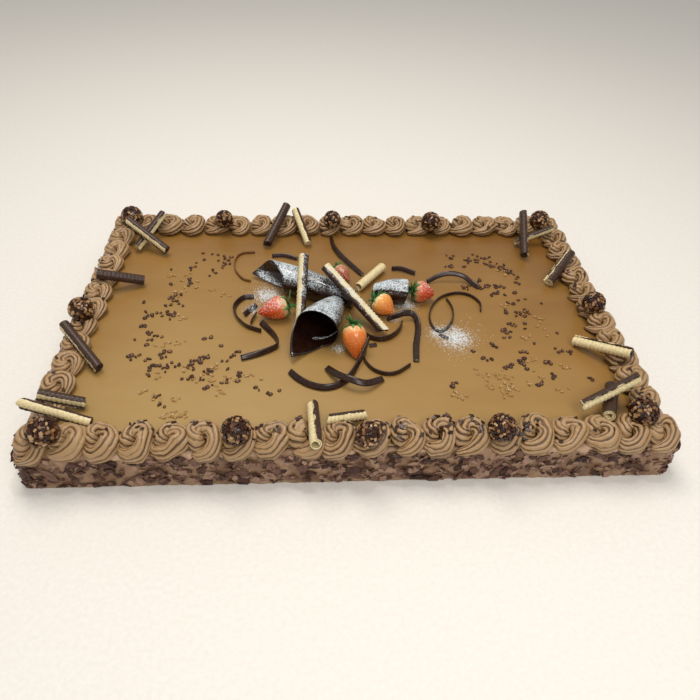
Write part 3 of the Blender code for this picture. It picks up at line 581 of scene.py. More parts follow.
# Crisp flakes dusted with gold powder are little paler than the icing, and glint.
gilded = mottled("gold_dusted_flakes", 2 * MM, 3, [(0.35, "#8b6736"), (0.65, "#b18c53")], Roughness=0.3)
add_piece("gold_dusted_flakes", np.concatenate(flake_points), flake_faces, gilded,
          smooth=False)


# Sticks and truffles to be pushed into the border: where they go. A stick is the two ends of
# its middle line and its radius, the way its white side faces and how many degrees of it show,
# where a white rim shows (open where its start is a wide hole), and how askew each end is cut.

STICKS = {
    "stick_back_left_over": ((-267, 147, 32.8), (-218, 117, 8.1), 6.5, (-0.6, -0.7, -0.05), 112, "", (0, 0)),
    "stick_back_left_under": ((-229, 176, 25.5), (-256, 124, 5.7), 6.5, (0.9, -0.2, 0.3), 70, "end", (0, 2)),
    "stick_left_back": ((-281, 43, 23.6), (-234, 55, 5.9), 6.8, (0.3, 0.4, -0.8), 50, "", (0, 0)),
    "stick_left_front": ((-291, -47, 24.6), (-248, -94, 5.9), 6.6, (-0.7, -0.6, -0.1), 75, "start", (0, 2)),
    "stick_front_left_short": ((-287, -142, 20.5), (-248, -140, 5.5), 6.4, (0, -1, 0.1), 80, "", (0, 2)),
    "stick_front_left_long": ((-298, -156, 25.5), (-236, -167, 8.5), 6, (0, -1, 0.4), 150, "", (7, 0)),
    "stick_back_dark": ((-71, 192, 30.6), (-96, 134, 5.9), 6.8, (-0.8, -0.5, -0.2), 50, "start", (0, 3)),
    "stick_back_pale": ((-60, 181, 29.6), (-43, 138, 5.3), 6.4, (-0.9, -0.4, 0.4), 160, "end", (0, 0)),
    "stick_back_right_over": ((243, 172, 31.8), (233, 107, 7.6), 6.5, (1, -0.3, 0.3), 85, "start", (0, 0)),
    "stick_back_right_under": ((278, 148, 22.5), (228, 141, 4.7), 5.3, (0.1, -1, -0.1), 90, "end", (0, 2)),
    "stick_right_back": ((281, 86, 25.6), (247, 50, 6), 7, (-0.8, 0.4, 0.5), 65, "end", (0, 0)),
    "stick_right_middle": ((282, -101, 25.5), (243, -57, 5.8), 6.7, (-0.4, -0.9, 0.6), 165, "end", (0, 0)),
    "stick_right_front_long": ((272, -140, 29.2), (213, -161, 12.7), 6.5, (0, -1, -0.1), 150, "end", (0, 3)),
    "stick_right_front_short": (
        (237, -172, 10.5), (258, -128, 6.7), 7.3, (-0.9, 0, -0.4), 60, "start", (2, 0)),
    "stick_front_upright": ((-36, -205, 18.6), (-39, -147, 6.2), 6.8, (-1, -0.1, 0.3), 165, "open", (0, 0)),
    "stick_front_level": ((-27, -172, 12.5), (11, -160, 5.8), 6.3, (0.1, -1, 0.1), 160, "open", (5, 3)),
    "stick_centre_left": ((-47.4, 38.8, 52), (-52, -28, 5.1), 6.8, (-0.95, -0.1, 0.3), 162, "", (0, 0)),
    "stick_centre_right": ((-22.7, 27.1, 45), (41, -42, 6.1), 7, (0.7, 0.25, 0.65), 168, "start", (0, 7)),
    "stick_centre_pale": ((16.5, 40, 6.3), (49, 83, 6.3), 6.8, (0, 0, 1), 340, "open", (0, 0)),
}
TRUFFLES = [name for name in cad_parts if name.startswith("truffle_")]


def on_top(place):
    """A place from the lists, whose height is measured from the icing, in metres."""
    return np.array(place) * MM + (0, 0, TOP)


# Piped border. Chocolate buttercream, whipped and soft, is piped through a star nozzle: from
# the middle of each rosette the thick rope goes once round clockwise, over its own start, and
# is pulled off at the outside. The ridges wind outwards, painted pale on the crests and dark
# in the grooves as painted shade.

# A row is its seed, the way its tails point, the reach of its rosettes, how many there are,
# and the middles of the first and the last.
ROWS = {
    "front": (11, 207, 18, 20, (-283, -186), (283, -186)),
    "back": (12, 205, 16.8, 20, (-283, 180.5), (283, 180.5)),
    "left": (13, 265, 15.8, 11, (-280, -147.3), (-280, 147.3)),
    "right": (14, 207, 16.6, 11, (283, -147.3), (283, 147.3)),
}
ROSETTE_HEIGHT, HEIGHT_RANGE, SIZE_RANGE, GROOVE_RANGE = 16.5 * MM, (0.86, 1.06), (0.94, 1.06), (0.35, 1.4)
SHIFT_X, SHIFT_Y, TAIL_SHIFT = 1.3, 1, 35
SAG_FROM, SAG, SLUMP_WAY, BOX_GAP = 8 * MM, 0.55, (0.6, 0.6, 1), 0.2 * MM
NEST_ROOM, NEST_SLOPE = 0.3 * MM, 2.5

# The rope is drawn by its ridges. Its values are how thick it is for the rosette's reach, how
# far it winds and twists and how deep the grooves are, then how it starts, how it is pulled
# off, how lopsided it lies, how high it lies, and how the grooves waver.
ROPE_STEPS, ROPE_LOBES, LOBE_SPOTS, CREST_POWER = 58, 9, np.array((0, 0.17, 0.37, 0.63, 0.83)), 0.7
ROPE_SHARE, ROPE_TURN, ROPE_TWIST, GROOVE = 0.52, math.radians(440), 1.9, 0.27
START_GIRTH, START_LENGTH, WOUND_OUT, INNERMOST = 0.35, 0.25, 0.42, 0.02
PULL_FROM, PULL_THINNING, PULL_POWER, PULL_REACH = 0.72, 0.72, 1.5, 0.8
LOPSIDED = ((0.16, 2, 70), (0.1, 3, -90))
ROPE_LIFT, CENTRE_SINK, ROPE_HUMP = 0.75, 1.75, 0.1
WAVER, WAVER_ALONG, WAVER_LOBE, WAVER_PLACE = 0.5, 9, 2.1, 40
# Painted shade: the cream is painted darker low down and lighter towards the top of each rosette.
SHADE_AT_BASE, SHADE_HEIGHT = 0.35, 0.5

section = ((np.arange(ROPE_LOBES)[:, None] + LOBE_SPOTS) / ROPE_LOBES).ravel() * 2 * math.pi
crest = np.tile(np.sin(math.pi * LOBE_SPOTS) ** CREST_POWER, ROPE_LOBES)
lobe = np.repeat(np.arange(ROPE_LOBES), len(LOBE_SPOTS))


def piped_rosette(x, y, size, height, tail, grooves):
    """Points of one rosette along its rope of cream, with painted shade: dark grooves and low parts."""
    grooves = np.repeat(grooves, len(LOBE_SPOTS))
    share = np.linspace(0, 1, ROPE_STEPS)[:, None]
    full = ROPE_SHARE * size
    late = np.clip((share - PULL_FROM) / (1 - PULL_FROM), 0, 1)
    rope = full * np.clip(START_GIRTH + share / START_LENGTH, 0, 1) * (1 - PULL_THINNING * late**PULL_POWER)
    way = tail + ROPE_TURN * (1 - share)
    lopsided = 1 + sum(much * np.sin(lobes * way + drift * x) for much, lobes, drift in LOPSIDED)
    reach = (size - full) * np.sin(np.clip(share / WOUND_OUT, 0, 1) * math.pi / 2) * lopsided
    reach += PULL_REACH * full * late
    lift = ROPE_LIFT * rope + (height - CENTRE_SINK * full) * (1 - share) ** 2
    lift += ROPE_HUMP * full * np.sin(math.pi * share)
    angle = section - ROPE_TWIST * share
    waver = 1 + WAVER * np.sin(WAVER_ALONG * share + WAVER_LOBE * lobe + WAVER_PLACE * x)
    girth = rope * (1 - GROOVE * grooves * waver * (1 - crest))
    out = np.maximum(reach + girth * np.cos(angle), INNERMOST * size)
    rise = np.maximum(lift + girth * np.sin(angle), 0)
    points = np.stack([x + out * np.cos(way), y + out * np.sin(way), TOP + rise], -1)
    # Painted shade: the grooves are painted dark and the crests pale.
    painted_groove_shade = 1 - (1 - crest) * np.clip(grooves, 0, 1)
    return points.reshape(-1, 3), (painted_groove_shade * np.clip(SHADE_AT_BASE + rise / (SHADE_HEIGHT * height), 0, 1)).ravel()


def ball(name):
    """The middle and the radius of a solid truffle."""
    low, high = (np.array(corner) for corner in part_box(name))
    return (low + high) / 2, (high - low).min() / 2


def pressed(points):
    """Lowers the soft cream to the underside of the truffles and sticks that are pushed in."""
    shapes = [(on_top(start), on_top(end), radius * MM) for start, end, radius, *_ in STICKS.values()]
    for middle, radius in map(ball, TRUFFLES):
        shapes.append((middle, middle + (MM, 0, 0), radius))
    for start, end, radius in shapes:
        run = end - start
        share = np.clip((points - start)[:, :2] @ run[:2] / (run[:2] @ run[:2]), 0, 1)
        axis = start + share[:, None] * run
        far = np.hypot(*(points - axis)[:, :2].T) / (radius + NEST_ROOM)
        under = -radius * np.sqrt(np.clip(1 - far**2, 0, 1)) + NEST_SLOPE * radius * np.maximum(far - 1, 0)
        points[:, 2] = np.minimum(points[:, 2], np.maximum(axis[:, 2] + under, TOP))
    return points


# Whipped buttercream is soft and faintly pitted, so light spreads a little way into its ridges.
# Its ramp paints shade: dark in the grooves and low down, pale on the high crests.
cream = mottled("piped_chocolate_buttercream", 4 * MM, 6,
                [(0.15, "#452813"), (0.5, "#64472b"), (0.85, "#856743"), (1, "#aa8a63")],
                0.45, (1 * MM, 0.6), 0.6, Roughness=0.38, Subsurface_Weight=0.12, Subsurface_Scale=3 * MM)

border_points, border_faces = [], []
for side, (seed, tail, radius, count, first, last) in ROWS.items():
    draw = random.Random(seed)
    row_points, row_faces, row_tones = [], [], []
    for x, y in np.linspace(first, last, count) * MM:
        size = radius * MM * draw.uniform(*SIZE_RANGE)
        height = ROSETTE_HEIGHT * draw.uniform(*HEIGHT_RANGE)
        x, y = x + draw.uniform(-SHIFT_X, SHIFT_X) * MM, y + draw.uniform(-SHIFT_Y, SHIFT_Y) * MM
        grooves = [draw.uniform(*GROOVE_RANGE) for _ in range(ROPE_LOBES)]
        turn = math.radians(tail + draw.uniform(-TAIL_SHIFT, TAIL_SHIFT))
        points, tones = piped_rosette(x, y, size, height, turn, grooves)
        row_faces += tube_faces(ROPE_STEPS, len(section), len(row_tones))
        row_points.append(points)
        row_tones += list(tones)
    points = np.concatenate(row_points)
    slump = waves(points, ((1.1 * MM, 8, seed), (0.55 * MM, 3, seed + 1)))
    points += np.outer(slump * (points[:, 2] > TOP), SLUMP_WAY)
    over = np.abs(points[:, :2]) - (CAKE_LENGTH / 2 - SAG_FROM, CAKE_WIDTH / 2 - SAG_FROM)
    points[:, 2] -= SAG * np.maximum(over.max(axis=1), 0)
    limit = np.array((solid_box[1].x, solid_box[1].y)) - BOX_GAP
    points[:, :2] = np.clip(points[:, :2], -limit, limit)
    points = pressed(points)
    add_piece("rosettes_" + side, points, row_faces, cream, row_tones,
              replaced=["border_" + side])
    before = sum(map(len, border_points))
    border_faces += [tuple(before + corner for corner in face) for face in row_faces]
    border_points.append(points)

# Dark chocolate chips lie where they fell on the rosettes, more of them to the inside, and
# crumbs of truffle coating lie in heaps: the middle of each, its reach and how many.
CHIP_COUNT, CHIP_THICKNESS, CHIP_LENGTH, CHIP_WIDTH = 370, 1.1 * MM, (1.2, 3), (0.9, 1.9)
LENGTH_RAGGED, WIDTH_RAGGED, CHIP_SUNK = (0.6, 1.1), (0.5, 1.1), 0.3
CHIP_BAND, BAND_SHARES, SHORT_ROW_SHARE, HEAP_DEPTH = 33 * MM, (2.6, 1.9), 0.3, 0.6
CHIP_SLOPE, CHIP_FLOOR, FALL_HEIGHT, ANY_SPIN = 0.45, 4 * MM, 0.2, 7
CHIP_CORNERS = ((-1, -1), (1, -1), (1, 1), (-1, 1))
CHIP_FACES = ((0, 3, 2, 1), (4, 5, 6, 7), (0, 1, 5, 4), (1, 2, 6, 5), (2, 3, 7, 6), (3, 0, 4, 7))
CRUMB_HEAPS = ((149, -190, 6, 22), (-90, -180, 5, 8), (30, -186, 7, 12), (84, -183, 9, 22),
               (108, -186, 6, 10),
               (-205, -178, 5, 6), (-188, -174, 8, 10), (-168, -174, 5, 8), (-142, -176, 4, 5),
               (276, 98, 6, 8), (268, 62, 5, 9), (272, 30, 4, 8), (268, -2, 4, 8), (-274, 20, 6, 6))


def laid(way, spin):
    """The turn that lays a flat bit across the way given, after a spin about that way."""
    return way.to_track_quat("Z", "Y").to_matrix() @ Matrix.Rotation(spin, 3, "Z")


border_tree = BVHTree.FromPolygons(np.concatenate(border_points).tolist(), border_faces)
draw = random.Random(41)
falls = [(draw.gauss(x, reach) * MM, draw.gauss(y, reach * HEAP_DEPTH) * MM)
         for x, y, reach, count in CRUMB_HEAPS for _ in range(count)]
while len(falls) < CHIP_COUNT:
    inset = draw.betavariate(*BAND_SHARES) * CHIP_BAND
    if draw.random() < SHORT_ROW_SHARE:
        side = draw.choice((-1, 1))
        falls.append((side * (CAKE_LENGTH / 2 - inset), draw.uniform(-1, 1) * CAKE_WIDTH / 2))
    else:
        side = draw.choice((-1, -1, 1))
        falls.append((draw.triangular(-1, 1, 0.3) * CAKE_LENGTH / 2, side * (CAKE_WIDTH / 2 - inset)))
chip_points, chip_faces, chip_tones = [], [], []
for x, y in falls:
    spot, slope, _, _ = border_tree.ray_cast(Vector((x, y, FALL_HEIGHT)), Vector((0, 0, -1)))
    if spot is None or abs(slope.z) < CHIP_SLOPE or spot.z < TOP + CHIP_FLOOR:
        continue
    basis = np.array(laid(slope if slope.z > 0 else -slope, draw.uniform(0, ANY_SPIN)))
    long, wide = draw.uniform(*CHIP_LENGTH) * MM, draw.uniform(*CHIP_WIDTH) * MM
    chip_faces += [tuple(len(chip_tones) + corner for corner in face) for face in CHIP_FACES]
    corners = [(sx * long * draw.uniform(*LENGTH_RAGGED), sy * wide * draw.uniform(*WIDTH_RAGGED), level)
               for level in (-CHIP_SUNK * CHIP_THICKNESS, CHIP_THICKNESS) for sx, sy in CHIP_CORNERS]
    chip_points.append(np.array(corners) @ basis.T + np.array(spot))
    chip_tones += [draw.random()] * len(corners)

# Broken dark chocolate has a dull shine, and some chips are greyer than others.
chipped = mottled("dark_chocolate_chips", 1 * MM, 3, [(0, "#27120a"), (0.6, "#432619"), (1, "#665042")], 0,
                  (0.3 * MM, 0.5), Roughness=0.33)
add_piece("border_chips", np.concatenate(chip_points), chip_faces, chipped, chip_tones,
          smooth=False)


# Truffles. Balls of ganache are rolled in melted chocolate and then in coarsely chopped
# roasted nuts, which stand out as tan lumps between glossy dark chocolate.

BALL_RINGS, BALL_SIDES, BALL_REACH, BALL_TONES = 14, 22, (0.84, 0.91), (0.1, 0.45)
NUT_COUNT, NUT_TURN, NUT_SEAT = 150, math.pi * (3 - math.sqrt(5)), 0.92
NUT_SHIFT, NUT_TILT, NUT_HALVES, NUT_CUT = 0.15, 0.4, ((1.2, 2.6), (0.9, 1.9), (0.7, 1.3)), (0.6, 1)
BARE_SHARE, BARE_TONES, COATED_TONES = 0.45, (0.62, 0.95), (0.1, 0.5)
NUT_CORNERS = [(sx, sy, sz) for sz in (-1, 1) for sy in (-1, 1) for sx in (-1, 1)]
NUT_FACES = ((0, 2, 3, 1), (4, 5, 7, 6), (0, 1, 5, 4), (1, 3, 7, 5), (3, 2, 6, 7), (2, 0, 4, 6))

# Melted chocolate over roasted nuts is glossy and near black, and tan where a nut is bare.
coated = mottled("chocolate_and_chopped_nuts", 1.5 * MM, 4, [
    (0.2, "#220d05"), (0.6, "#452410"), (0.75, "#71492a"), (0.9, "#99744b"), (1, "#b9966b")],
    0.22, (0.6 * MM, 0.6), Roughness=0.3, Coat_Weight=0.3, Coat_Roughness=0.15, Specular_IOR_Level=0.3)


def way_out(turn, rise):
    """The way out of a ball's middle, from a turn and a height of -1 to 1."""
    level = math.sqrt(1 - rise * rise)
    return np.array((level * math.cos(turn), level * math.sin(turn), rise))


for seed, name in enumerate(TRUFFLES):
    draw = random.Random(60 + seed)
    middle, radius = ball(name)
    points, tones = [], []
    for ring in range(BALL_RINGS):
        rise = math.cos(math.pi * (ring + 0.5) / BALL_RINGS)
        for side in range(BALL_SIDES):
            points.append(radius * draw.uniform(*BALL_REACH) * way_out(2 * math.pi * side / BALL_SIDES, rise))
            tones.append(draw.uniform(*BALL_TONES))
    faces = tube_faces(BALL_RINGS, BALL_SIDES)
    for nut in range(NUT_COUNT):
        turn = nut * NUT_TURN + draw.uniform(-NUT_SHIFT, NUT_SHIFT)
        way = Vector(way_out(turn, 1 - (2 * nut + 1) / NUT_COUNT))
        tilts = [Matrix.Rotation(draw.uniform(-NUT_TILT, NUT_TILT), 3, axis) for axis in "XY"]
        basis = np.array(laid(way, draw.uniform(0, ANY_SPIN)) @ (tilts[0] @ tilts[1]))
        half = np.array([draw.uniform(*limits) for limits in NUT_HALVES]) * MM
        faces += [tuple(len(tones) + corner for corner in face) for face in NUT_FACES]
        for corner in NUT_CORNERS:
            corner = np.array(corner) * half * [draw.uniform(*NUT_CUT) for _ in range(3)]
            spot = np.array(way) * radius * NUT_SEAT + basis @ corner
            points.append(spot * min(1, radius / np.linalg.norm(spot)))
        tone = draw.uniform(*(BARE_TONES if draw.random() < BARE_SHARE else COATED_TONES))
        tones += [tone] * len(NUT_CORNERS)
    add_piece(name + "_coated", np.array(points) + middle, faces, coated, tones, smooth=False,
              replaced=[name])


# Rolled sticks. A thin sheet of dark chocolate spread beside white is scraped off the slab so
# that it rolls up: a loose spiral with a dark and a white side, ripples across it where the
# scraper chattered, and ragged ends that show the spiral. Those in the middle are sugared.

STICK_RINGS, STICK_AROUND, ROLL_TURNS, HOLLOW_TURNS = 52, 19, 2, 1.25
SHEET_THICKNESS, ROLL_GAP, END_STEPS, RIM_DEPTH = 1.7 * MM, 0.3 * MM, (0, 0.3 * MM, 0.9 * MM), 9 * MM
LINE_WAVE, LINE_WANDER, LINE_SHARPNESS, INSIDE_ROLL_SHADE = 9 * MM, 0.3, 2.5, 0.3
RIPPLE_PITCH, RIPPLE_DEPTH, RIPPLE_SKEW, RIPPLE_WANDER = 4.2 * MM, 0.9 * MM, 0.7 * MM, 2.5
DARK_RIPPLE, END_RAGGED = 0.2, 0.8 * MM
SUGARED_STICKS = ("stick_centre_left", "stick_centre_right")


def axes_along(start, end):
    """Rows that are the way from start to end, the level way across it and the way up from it,
    and the length from start to end."""
    length = np.linalg.norm(end - start)
    along = (end - start) / length
    across = np.cross((0, 0, 1), along)
    across /= np.linalg.norm(across)
    return np.array([along, across, np.cross(along, across)]), length


def rolled_stick(name, start, end, radius, pale_way, pale_span, rims, slants, material, dust=None):
    """A stick from its start to its end, as a spiral sheet with two sides and four edges."""
    start, end, radius = on_top(start), on_top(end), radius * MM
    axes, length = axes_along(start, end)
    _, across, up = axes @ np.array(pale_way)
    pale_angle, half_span = math.atan2(up, across), math.radians(pale_span) / 2
    inner_steps = np.linspace(END_STEPS[-1], length - END_STEPS[-1], STICK_RINGS - 4)
    places = np.concatenate([END_STEPS[:2], inner_steps, length - np.array(END_STEPS[1::-1])])[:, None]
    turns = HOLLOW_TURNS if rims == "open" else ROLL_TURNS
    wound = np.linspace(0, turns * 2 * math.pi, round(STICK_AROUND * turns))
    angle = np.concatenate([wound, wound[::-1]]) + pale_angle + half_span
    depth = (SHEET_THICKNESS + ROLL_GAP) * wound / (2 * math.pi)
    depth = np.concatenate([depth, depth[::-1] + SHEET_THICKNESS])
    seed = sum(map(ord, name))
    wander = np.array([noise.noise(Vector((x / LINE_WAVE, seed, 0))) for x in places.ravel()])[:, None]
    face = np.cos(angle - pale_angle + LINE_WANDER * wander) - math.cos(half_span)
    outer = np.concatenate([wound < 2 * math.pi, 0 * wound > 0])
    # Painted shade: the inside of the roll and its inner turns are darker, save the white rim at an end.
    pale = np.clip(0.5 + LINE_SHARPNESS * face, 0, 1) * np.where(outer, 1, INSIDE_ROLL_SHADE)
    if rims:
        inwards = length - places if rims == "end" else places
        pale = np.where((inwards < END_STEPS[1]) | ((inwards < RIM_DEPTH) & ~outer), 1, pale)
    ripple = 2 * math.pi * (places + RIPPLE_SKEW * np.sin(angle)) / RIPPLE_PITCH + RIPPLE_WANDER * wander
    chatter = (0.5 + 0.5 * np.cos(ripple)) * (DARK_RIPPLE + (1 - DARK_RIPPLE) * pale) * outer
    wide = radius - depth - RIPPLE_DEPTH * chatter
    askew = 0.5 * (1 - np.cos(angle - pale_angle)) * MM
    ragged = END_RAGGED * np.array([noise.noise(Vector((a, seed, 3))) for a in angle])
    cut_start, cut_end = (np.maximum(0, slant * askew + ragged) for slant in slants)
    along = cut_start + places * (length - cut_start - cut_end) / length
    local = np.stack([along, wide * np.cos(angle), wide * np.sin(angle)], -1)
    count, sides = local.shape[:2]
    faces = tube_faces(count, sides, capped=False)
    for first in (0, (count - 1) * sides):
        faces += [(first + i, first + i + 1, first + sides - 2 - i, first + sides - 1 - i)
                  for i in range(sides // 2 - 1)]
    add_piece(name + "_rolled", local.reshape(-1, 3) @ axes + start, faces, material,
              pale.ravel(), dust, replaced=[name])


def two_tone(name):
    """Glossy dark chocolate and creamy white chocolate, with a sharp wavering line between."""
    made, tree, shader = new_material(name, Roughness=0.38, Coat_Weight=0.1, Coat_Roughness=0.25,
                                      Specular_IOR_Level=0.3)
    tone = add_node(tree, "ShaderNodeAttribute", attribute_name="tone").outputs["Fac"]
    streak = add_node(tree, "ShaderNodeTexNoise", [("Scale", 1 / (2 * MM)), ("Detail", 4)])
    line = add_node(tree, "ShaderNodeMath", [(0, streak), (1, 0.5), (2, tone)], operation="MULTIPLY_ADD")
    pale = add_node(tree, "ShaderNodeMapRange", [("Value", line), ("From Min", 0.68), ("From Max", 0.8)])
    dark = add_node(tree, "ShaderNodeValToRGB", [("Fac", streak)], [(0.3, "#2b1911"), (0.7, "#4d382d")])
    white = add_node(tree, "ShaderNodeValToRGB", [("Fac", streak)], [(0.3, "#cdb983"), (0.7, "#ebddb5")])
    both = add_node(tree, "ShaderNodeMix", [(0, pale), (6, dark), (7, white)], data_type="RGBA")
    bump = add_node(tree, "ShaderNodeBump", [
        ("Height", streak), ("Distance", 0.5 * MM), ("Strength", 0.35)])
    set_inputs(shader, [("Base Color", both.outputs[2]), ("Normal", bump)])
    return made


def settled_sugar(points, ups):
    """Sugar on whatever faces up, thinner where the height noise is low."""
    return (0.38 * np.clip(ups + 0.25, 0, 1) + waves(points, ((0.14, 9, 6),))) * (ups > -0.1)


# Scraped chocolate is satin, dark brown against cream, and dull white where sugar settled.
stick_chocolate = two_tone("dark_and_white_chocolate")
sugared_chocolate = sugared(two_tone("dark_and_white_chocolate_sugared"), 0.38)
for name, values in STICKS.items():
    is_sugared = name in SUGARED_STICKS
    rolled_stick(name, *values, sugared_chocolate if is_sugared else stick_chocolate,
                 settled_sugar if is_sugared else None)


# Cones. Dark chocolate is spread on film, rolled into a cone while soft, and peeled when set,
# so it is glossy inside and out, with one corner of the sheet as a long lip. Icing sugar is
# sieved over them and lies on their upper sides.

# A cone is its mouth and tip, the radii of both, how it tapers, its lip (its reach, the way it
# points and how far it spreads to each side), and how the sugar thins towards its tip.
CONES = {
    "cone_back": ((-66, 40.5), (9, 12), 18, 10, 1.5, 52, 223, (42, 190), 0.42),
    "cone_front": ((-33, -56.5), (-11.5, 2.5), 23.8, 11, 1.3, 33, 226, (62, 62), 0.14),
    "cone_right": ((64, 20), (33, 31), 15, 8.5, 1.5, 10, 300, (180, 180), 0.1),
}
CONE_LEVELS, CONE_SIDES, CONE_WALL, CONE_SEAM, LIP_POWER = 38, 72, 1.3 * MM, 0.8 * MM, 6

# Sugar that fell into the mouths: both ends of a line, how wide it spreads and its most.
INSIDE_SUGAR = (((-98, 66), (-74, 42), 10, 0.52), ((-37, -47), (-12, -43), 2.2, 0.62))
INSIDE_HEIGHT, OUTSIDE_SUGAR, THINNING_FROM = 12 * MM, 0.6, 0.3


def cone_sugar(points, ups, is_inner, start, length, thinning):
    """Sugar on the upper side of a cone, and the lines of it that fell inside the mouth."""
    outside = OUTSIDE_SUGAR * np.clip(1.3 * ups + 0.05, 0, 1) ** 0.8
    outside += waves(points, ((0.14, 10, 7),)) * (ups > 0)
    outside -= thinning * np.clip(np.linalg.norm(points - start, axis=1) / length - THINNING_FROM, 0, 1)
    inside = np.zeros(len(points))
    for first, last, width, most in INSIDE_SUGAR:
        first, run = np.array(first) * MM, (np.array(last) - first) * MM
        share = np.clip((points[:, :2] - first) @ run / (run @ run), 0, 1)
        far = np.hypot(*(points[:, :2] - first - share[:, None] * run).T) / (width * MM)
        inside = np.maximum(inside, most * np.exp(-far**2) * (points[:, 2] < TOP + INSIDE_HEIGHT))
    return np.where(is_inner, inside * (ups > 0), outside)


# Tempered dark chocolate that set against film is near black, with a clear gloss like lacquer.
glossy = sugared(mottled("tempered_dark_chocolate", 6 * MM, 4, [(0.3, "#1a0b07"), (0.7, "#2e1810")],
                         relief=(0.4 * MM, 0.3), Coat_Weight=0.5, Coat_Roughness=0.12, IOR=1.5), 0.22)

for name, (mouth, tip, radius, tip_radius, power, lip, lip_angle, spreads, thinning) in CONES.items():
    start = on_top((*mouth, 0))
    axes, length = axes_along(start, on_top((*tip, 0)))
    turn = np.arange(CONE_SIDES) * 2 * math.pi / CONE_SIDES
    off = (np.degrees(turn) - lip_angle + 180) % 360 - 180
    reach = lip * MM * np.maximum(0, 1 - np.abs(off) / np.where(off < 0, *spreads))
    seam = CONE_SEAM * ((np.degrees(turn) - lip_angle) % 360) / 360
    rings = [(level, CONE_WALL) for level in np.linspace(1, 0, CONE_LEVELS)]
    rings += [(level, 0) for level in np.linspace(0, 1, CONE_LEVELS)]
    points, is_inner = [], []
    for level, inset in rings:
        middle = MM * (tip_radius + (radius - tip_radius) * (1 - level**power))
        wide = middle - inset - seam * (1 - level)
        along = length * level - reach * (1 - level) ** LIP_POWER - (inset if level == 1 else 0)
        points.append(np.stack([along, -wide * np.sin(turn), middle + wide * np.cos(turn)], -1))
        is_inner += [inset > 0] * CONE_SIDES
    local = np.concatenate(points)
    local[:, 2] = np.maximum(local[:, 2], 0)
    add_piece(name + "_rolled", local @ axes + start, tube_faces(len(rings), CONE_SIDES), glossy,
              replaced=[name],
              dust=lambda points, ups: cone_sugar(points, ups, np.array(is_inner), start, length, thinning))


# Strawberries. Fresh fruit, laid whole with its leaves: moist orange-red flesh that pales to
# cream round the stalk, small pale seeds sunk in dimples, and tufts of narrow green leaves.

# A strawberry is its stalk end, its tip and radius, its colours from shoulder to tip, how much
# sugar lies on it, and how many leaves it has.
STRAWBERRIES = {
    "strawberry_left": ((-66, -4, 14.3), (-97, -12, 9.8), 13, ("#e2c890", "#da5e2a", "#c84019"), 0.4, 12),
    "strawberry_front": (
        (4.3, -52.5, 23.8), (7.8, -78, 0.9), 13, ("#eec78e", "#e47e2e", "#cc601e"), 0.22, 18),
    "strawberry_middle": (
        (34.5, 5.5, 14.7), (51.5, -10.5, 6.7), 12.8, ("#f4ebb4", "#eda24c", "#dd7228"), 0.16, 18),
    "strawberry_right": ((79, 24, 13.6), (103, 22, 9.4), 12.5, ("#dd9a6c", "#d04c28", "#c03a1e"), 0.38, 18),
    "strawberry_back": ((-7.3, 73.5, 10.2), (5.5, 52.5, 6.8), 9, ("#d9ab84", "#b4684a", "#923c2a"), 0.28, 14),
}
BERRY_PROFILE = ((0, 0), (0.01, 0.3), (0.0, 0.55), (0.1, 0.86), (0.32, 1), (0.6, 0.8), (0.85, 0.42),
                 (0.97, 0.16), (1, 0))
BERRY_STEPS, SHOULDER_SPANS, BERRY_SIDES, BLUNT_TIP = 6, 3, 56, 0.005
DIMPLE_DEPTH, DIMPLE_REACH, BERRY_SWELL = 0.6 * MM, 1.2 * MM, (0.35 * MM, 9)
SEED_ROWS, SEED_APART, FIRST_SEED, SEED_SPAN = 10, 5.2 * MM, 0.12, 0.82
SEED_TURN_SHIFT, SEED_SHIFT, SEED_SUNK = 0.1, 0.015, 0.4 * MM
SEED_LENGTH, SEED_WIDTH, SEED_FLATNESS, SEED_SIDES = 0.75 * MM, 0.42 * MM, 0.8, 6
SEED_RINGS = ((0.35, -1), (1, -0.35), (1, 0.35), (0.35, 1))

# Leaves: points along and across, how long for the berry and how broad, how they stand and
# bend, how far under the stalk end they sit or over the flesh, and how the midrib is folded.
LEAF_ROWS, LEAF_THICKNESS, LEAF_LENGTH, LEAF_WIDTH = 7, 0.3 * MM, (0.85, 1.35), (1.7, 2.9)
LEAF_STAND, LEAF_BEND, LEAF_SHIFT = (-0.95, 0), (0, 0.35), 0.3
LEAF_DROP, LEAF_COVER, LEAF_TIP, LEAF_SHAPE = 0.6 * MM, 0.5 * MM, 0.03, (0.12, 0.88, 0.8)
LEAF_FOLDS = ((-1, 0.3), (0, 0), (1, 0.3))


def smooth_route(points, steps):
    """Points on a smooth curve through the route's own points, with steps for each span."""
    points = [np.array(point, dtype=float) for point in points]
    ends = [2 * points[0] - points[1], *points, 2 * points[-1] - points[-2]]
    route = []
    for before, start, end, after in zip(ends, ends[1:], ends[2:], ends[3:]):
        for t in np.arange(steps) / steps:
            route.append(0.5 * (2 * start + (end - before) * t
                                + (2 * before - 5 * start + 4 * end - after) * t**2
                                + (3 * start - before - 3 * end + after) * t**3))
    return np.array(route + [points[-1]])


def berry_flesh(name, colours):
    """Wet fruit flesh is glossy and a little see-through, pale at the shoulder and ripe at the
    tip."""
    return sugared(mottled(name, 5 * MM, 4, zip((0.24, 0.48, 1), colours), 0.4, Subsurface_Weight=0.1,
                           Subsurface_Scale=3 * MM, Coat_Weight=0.35, Coat_Roughness=0.15), 0.3)


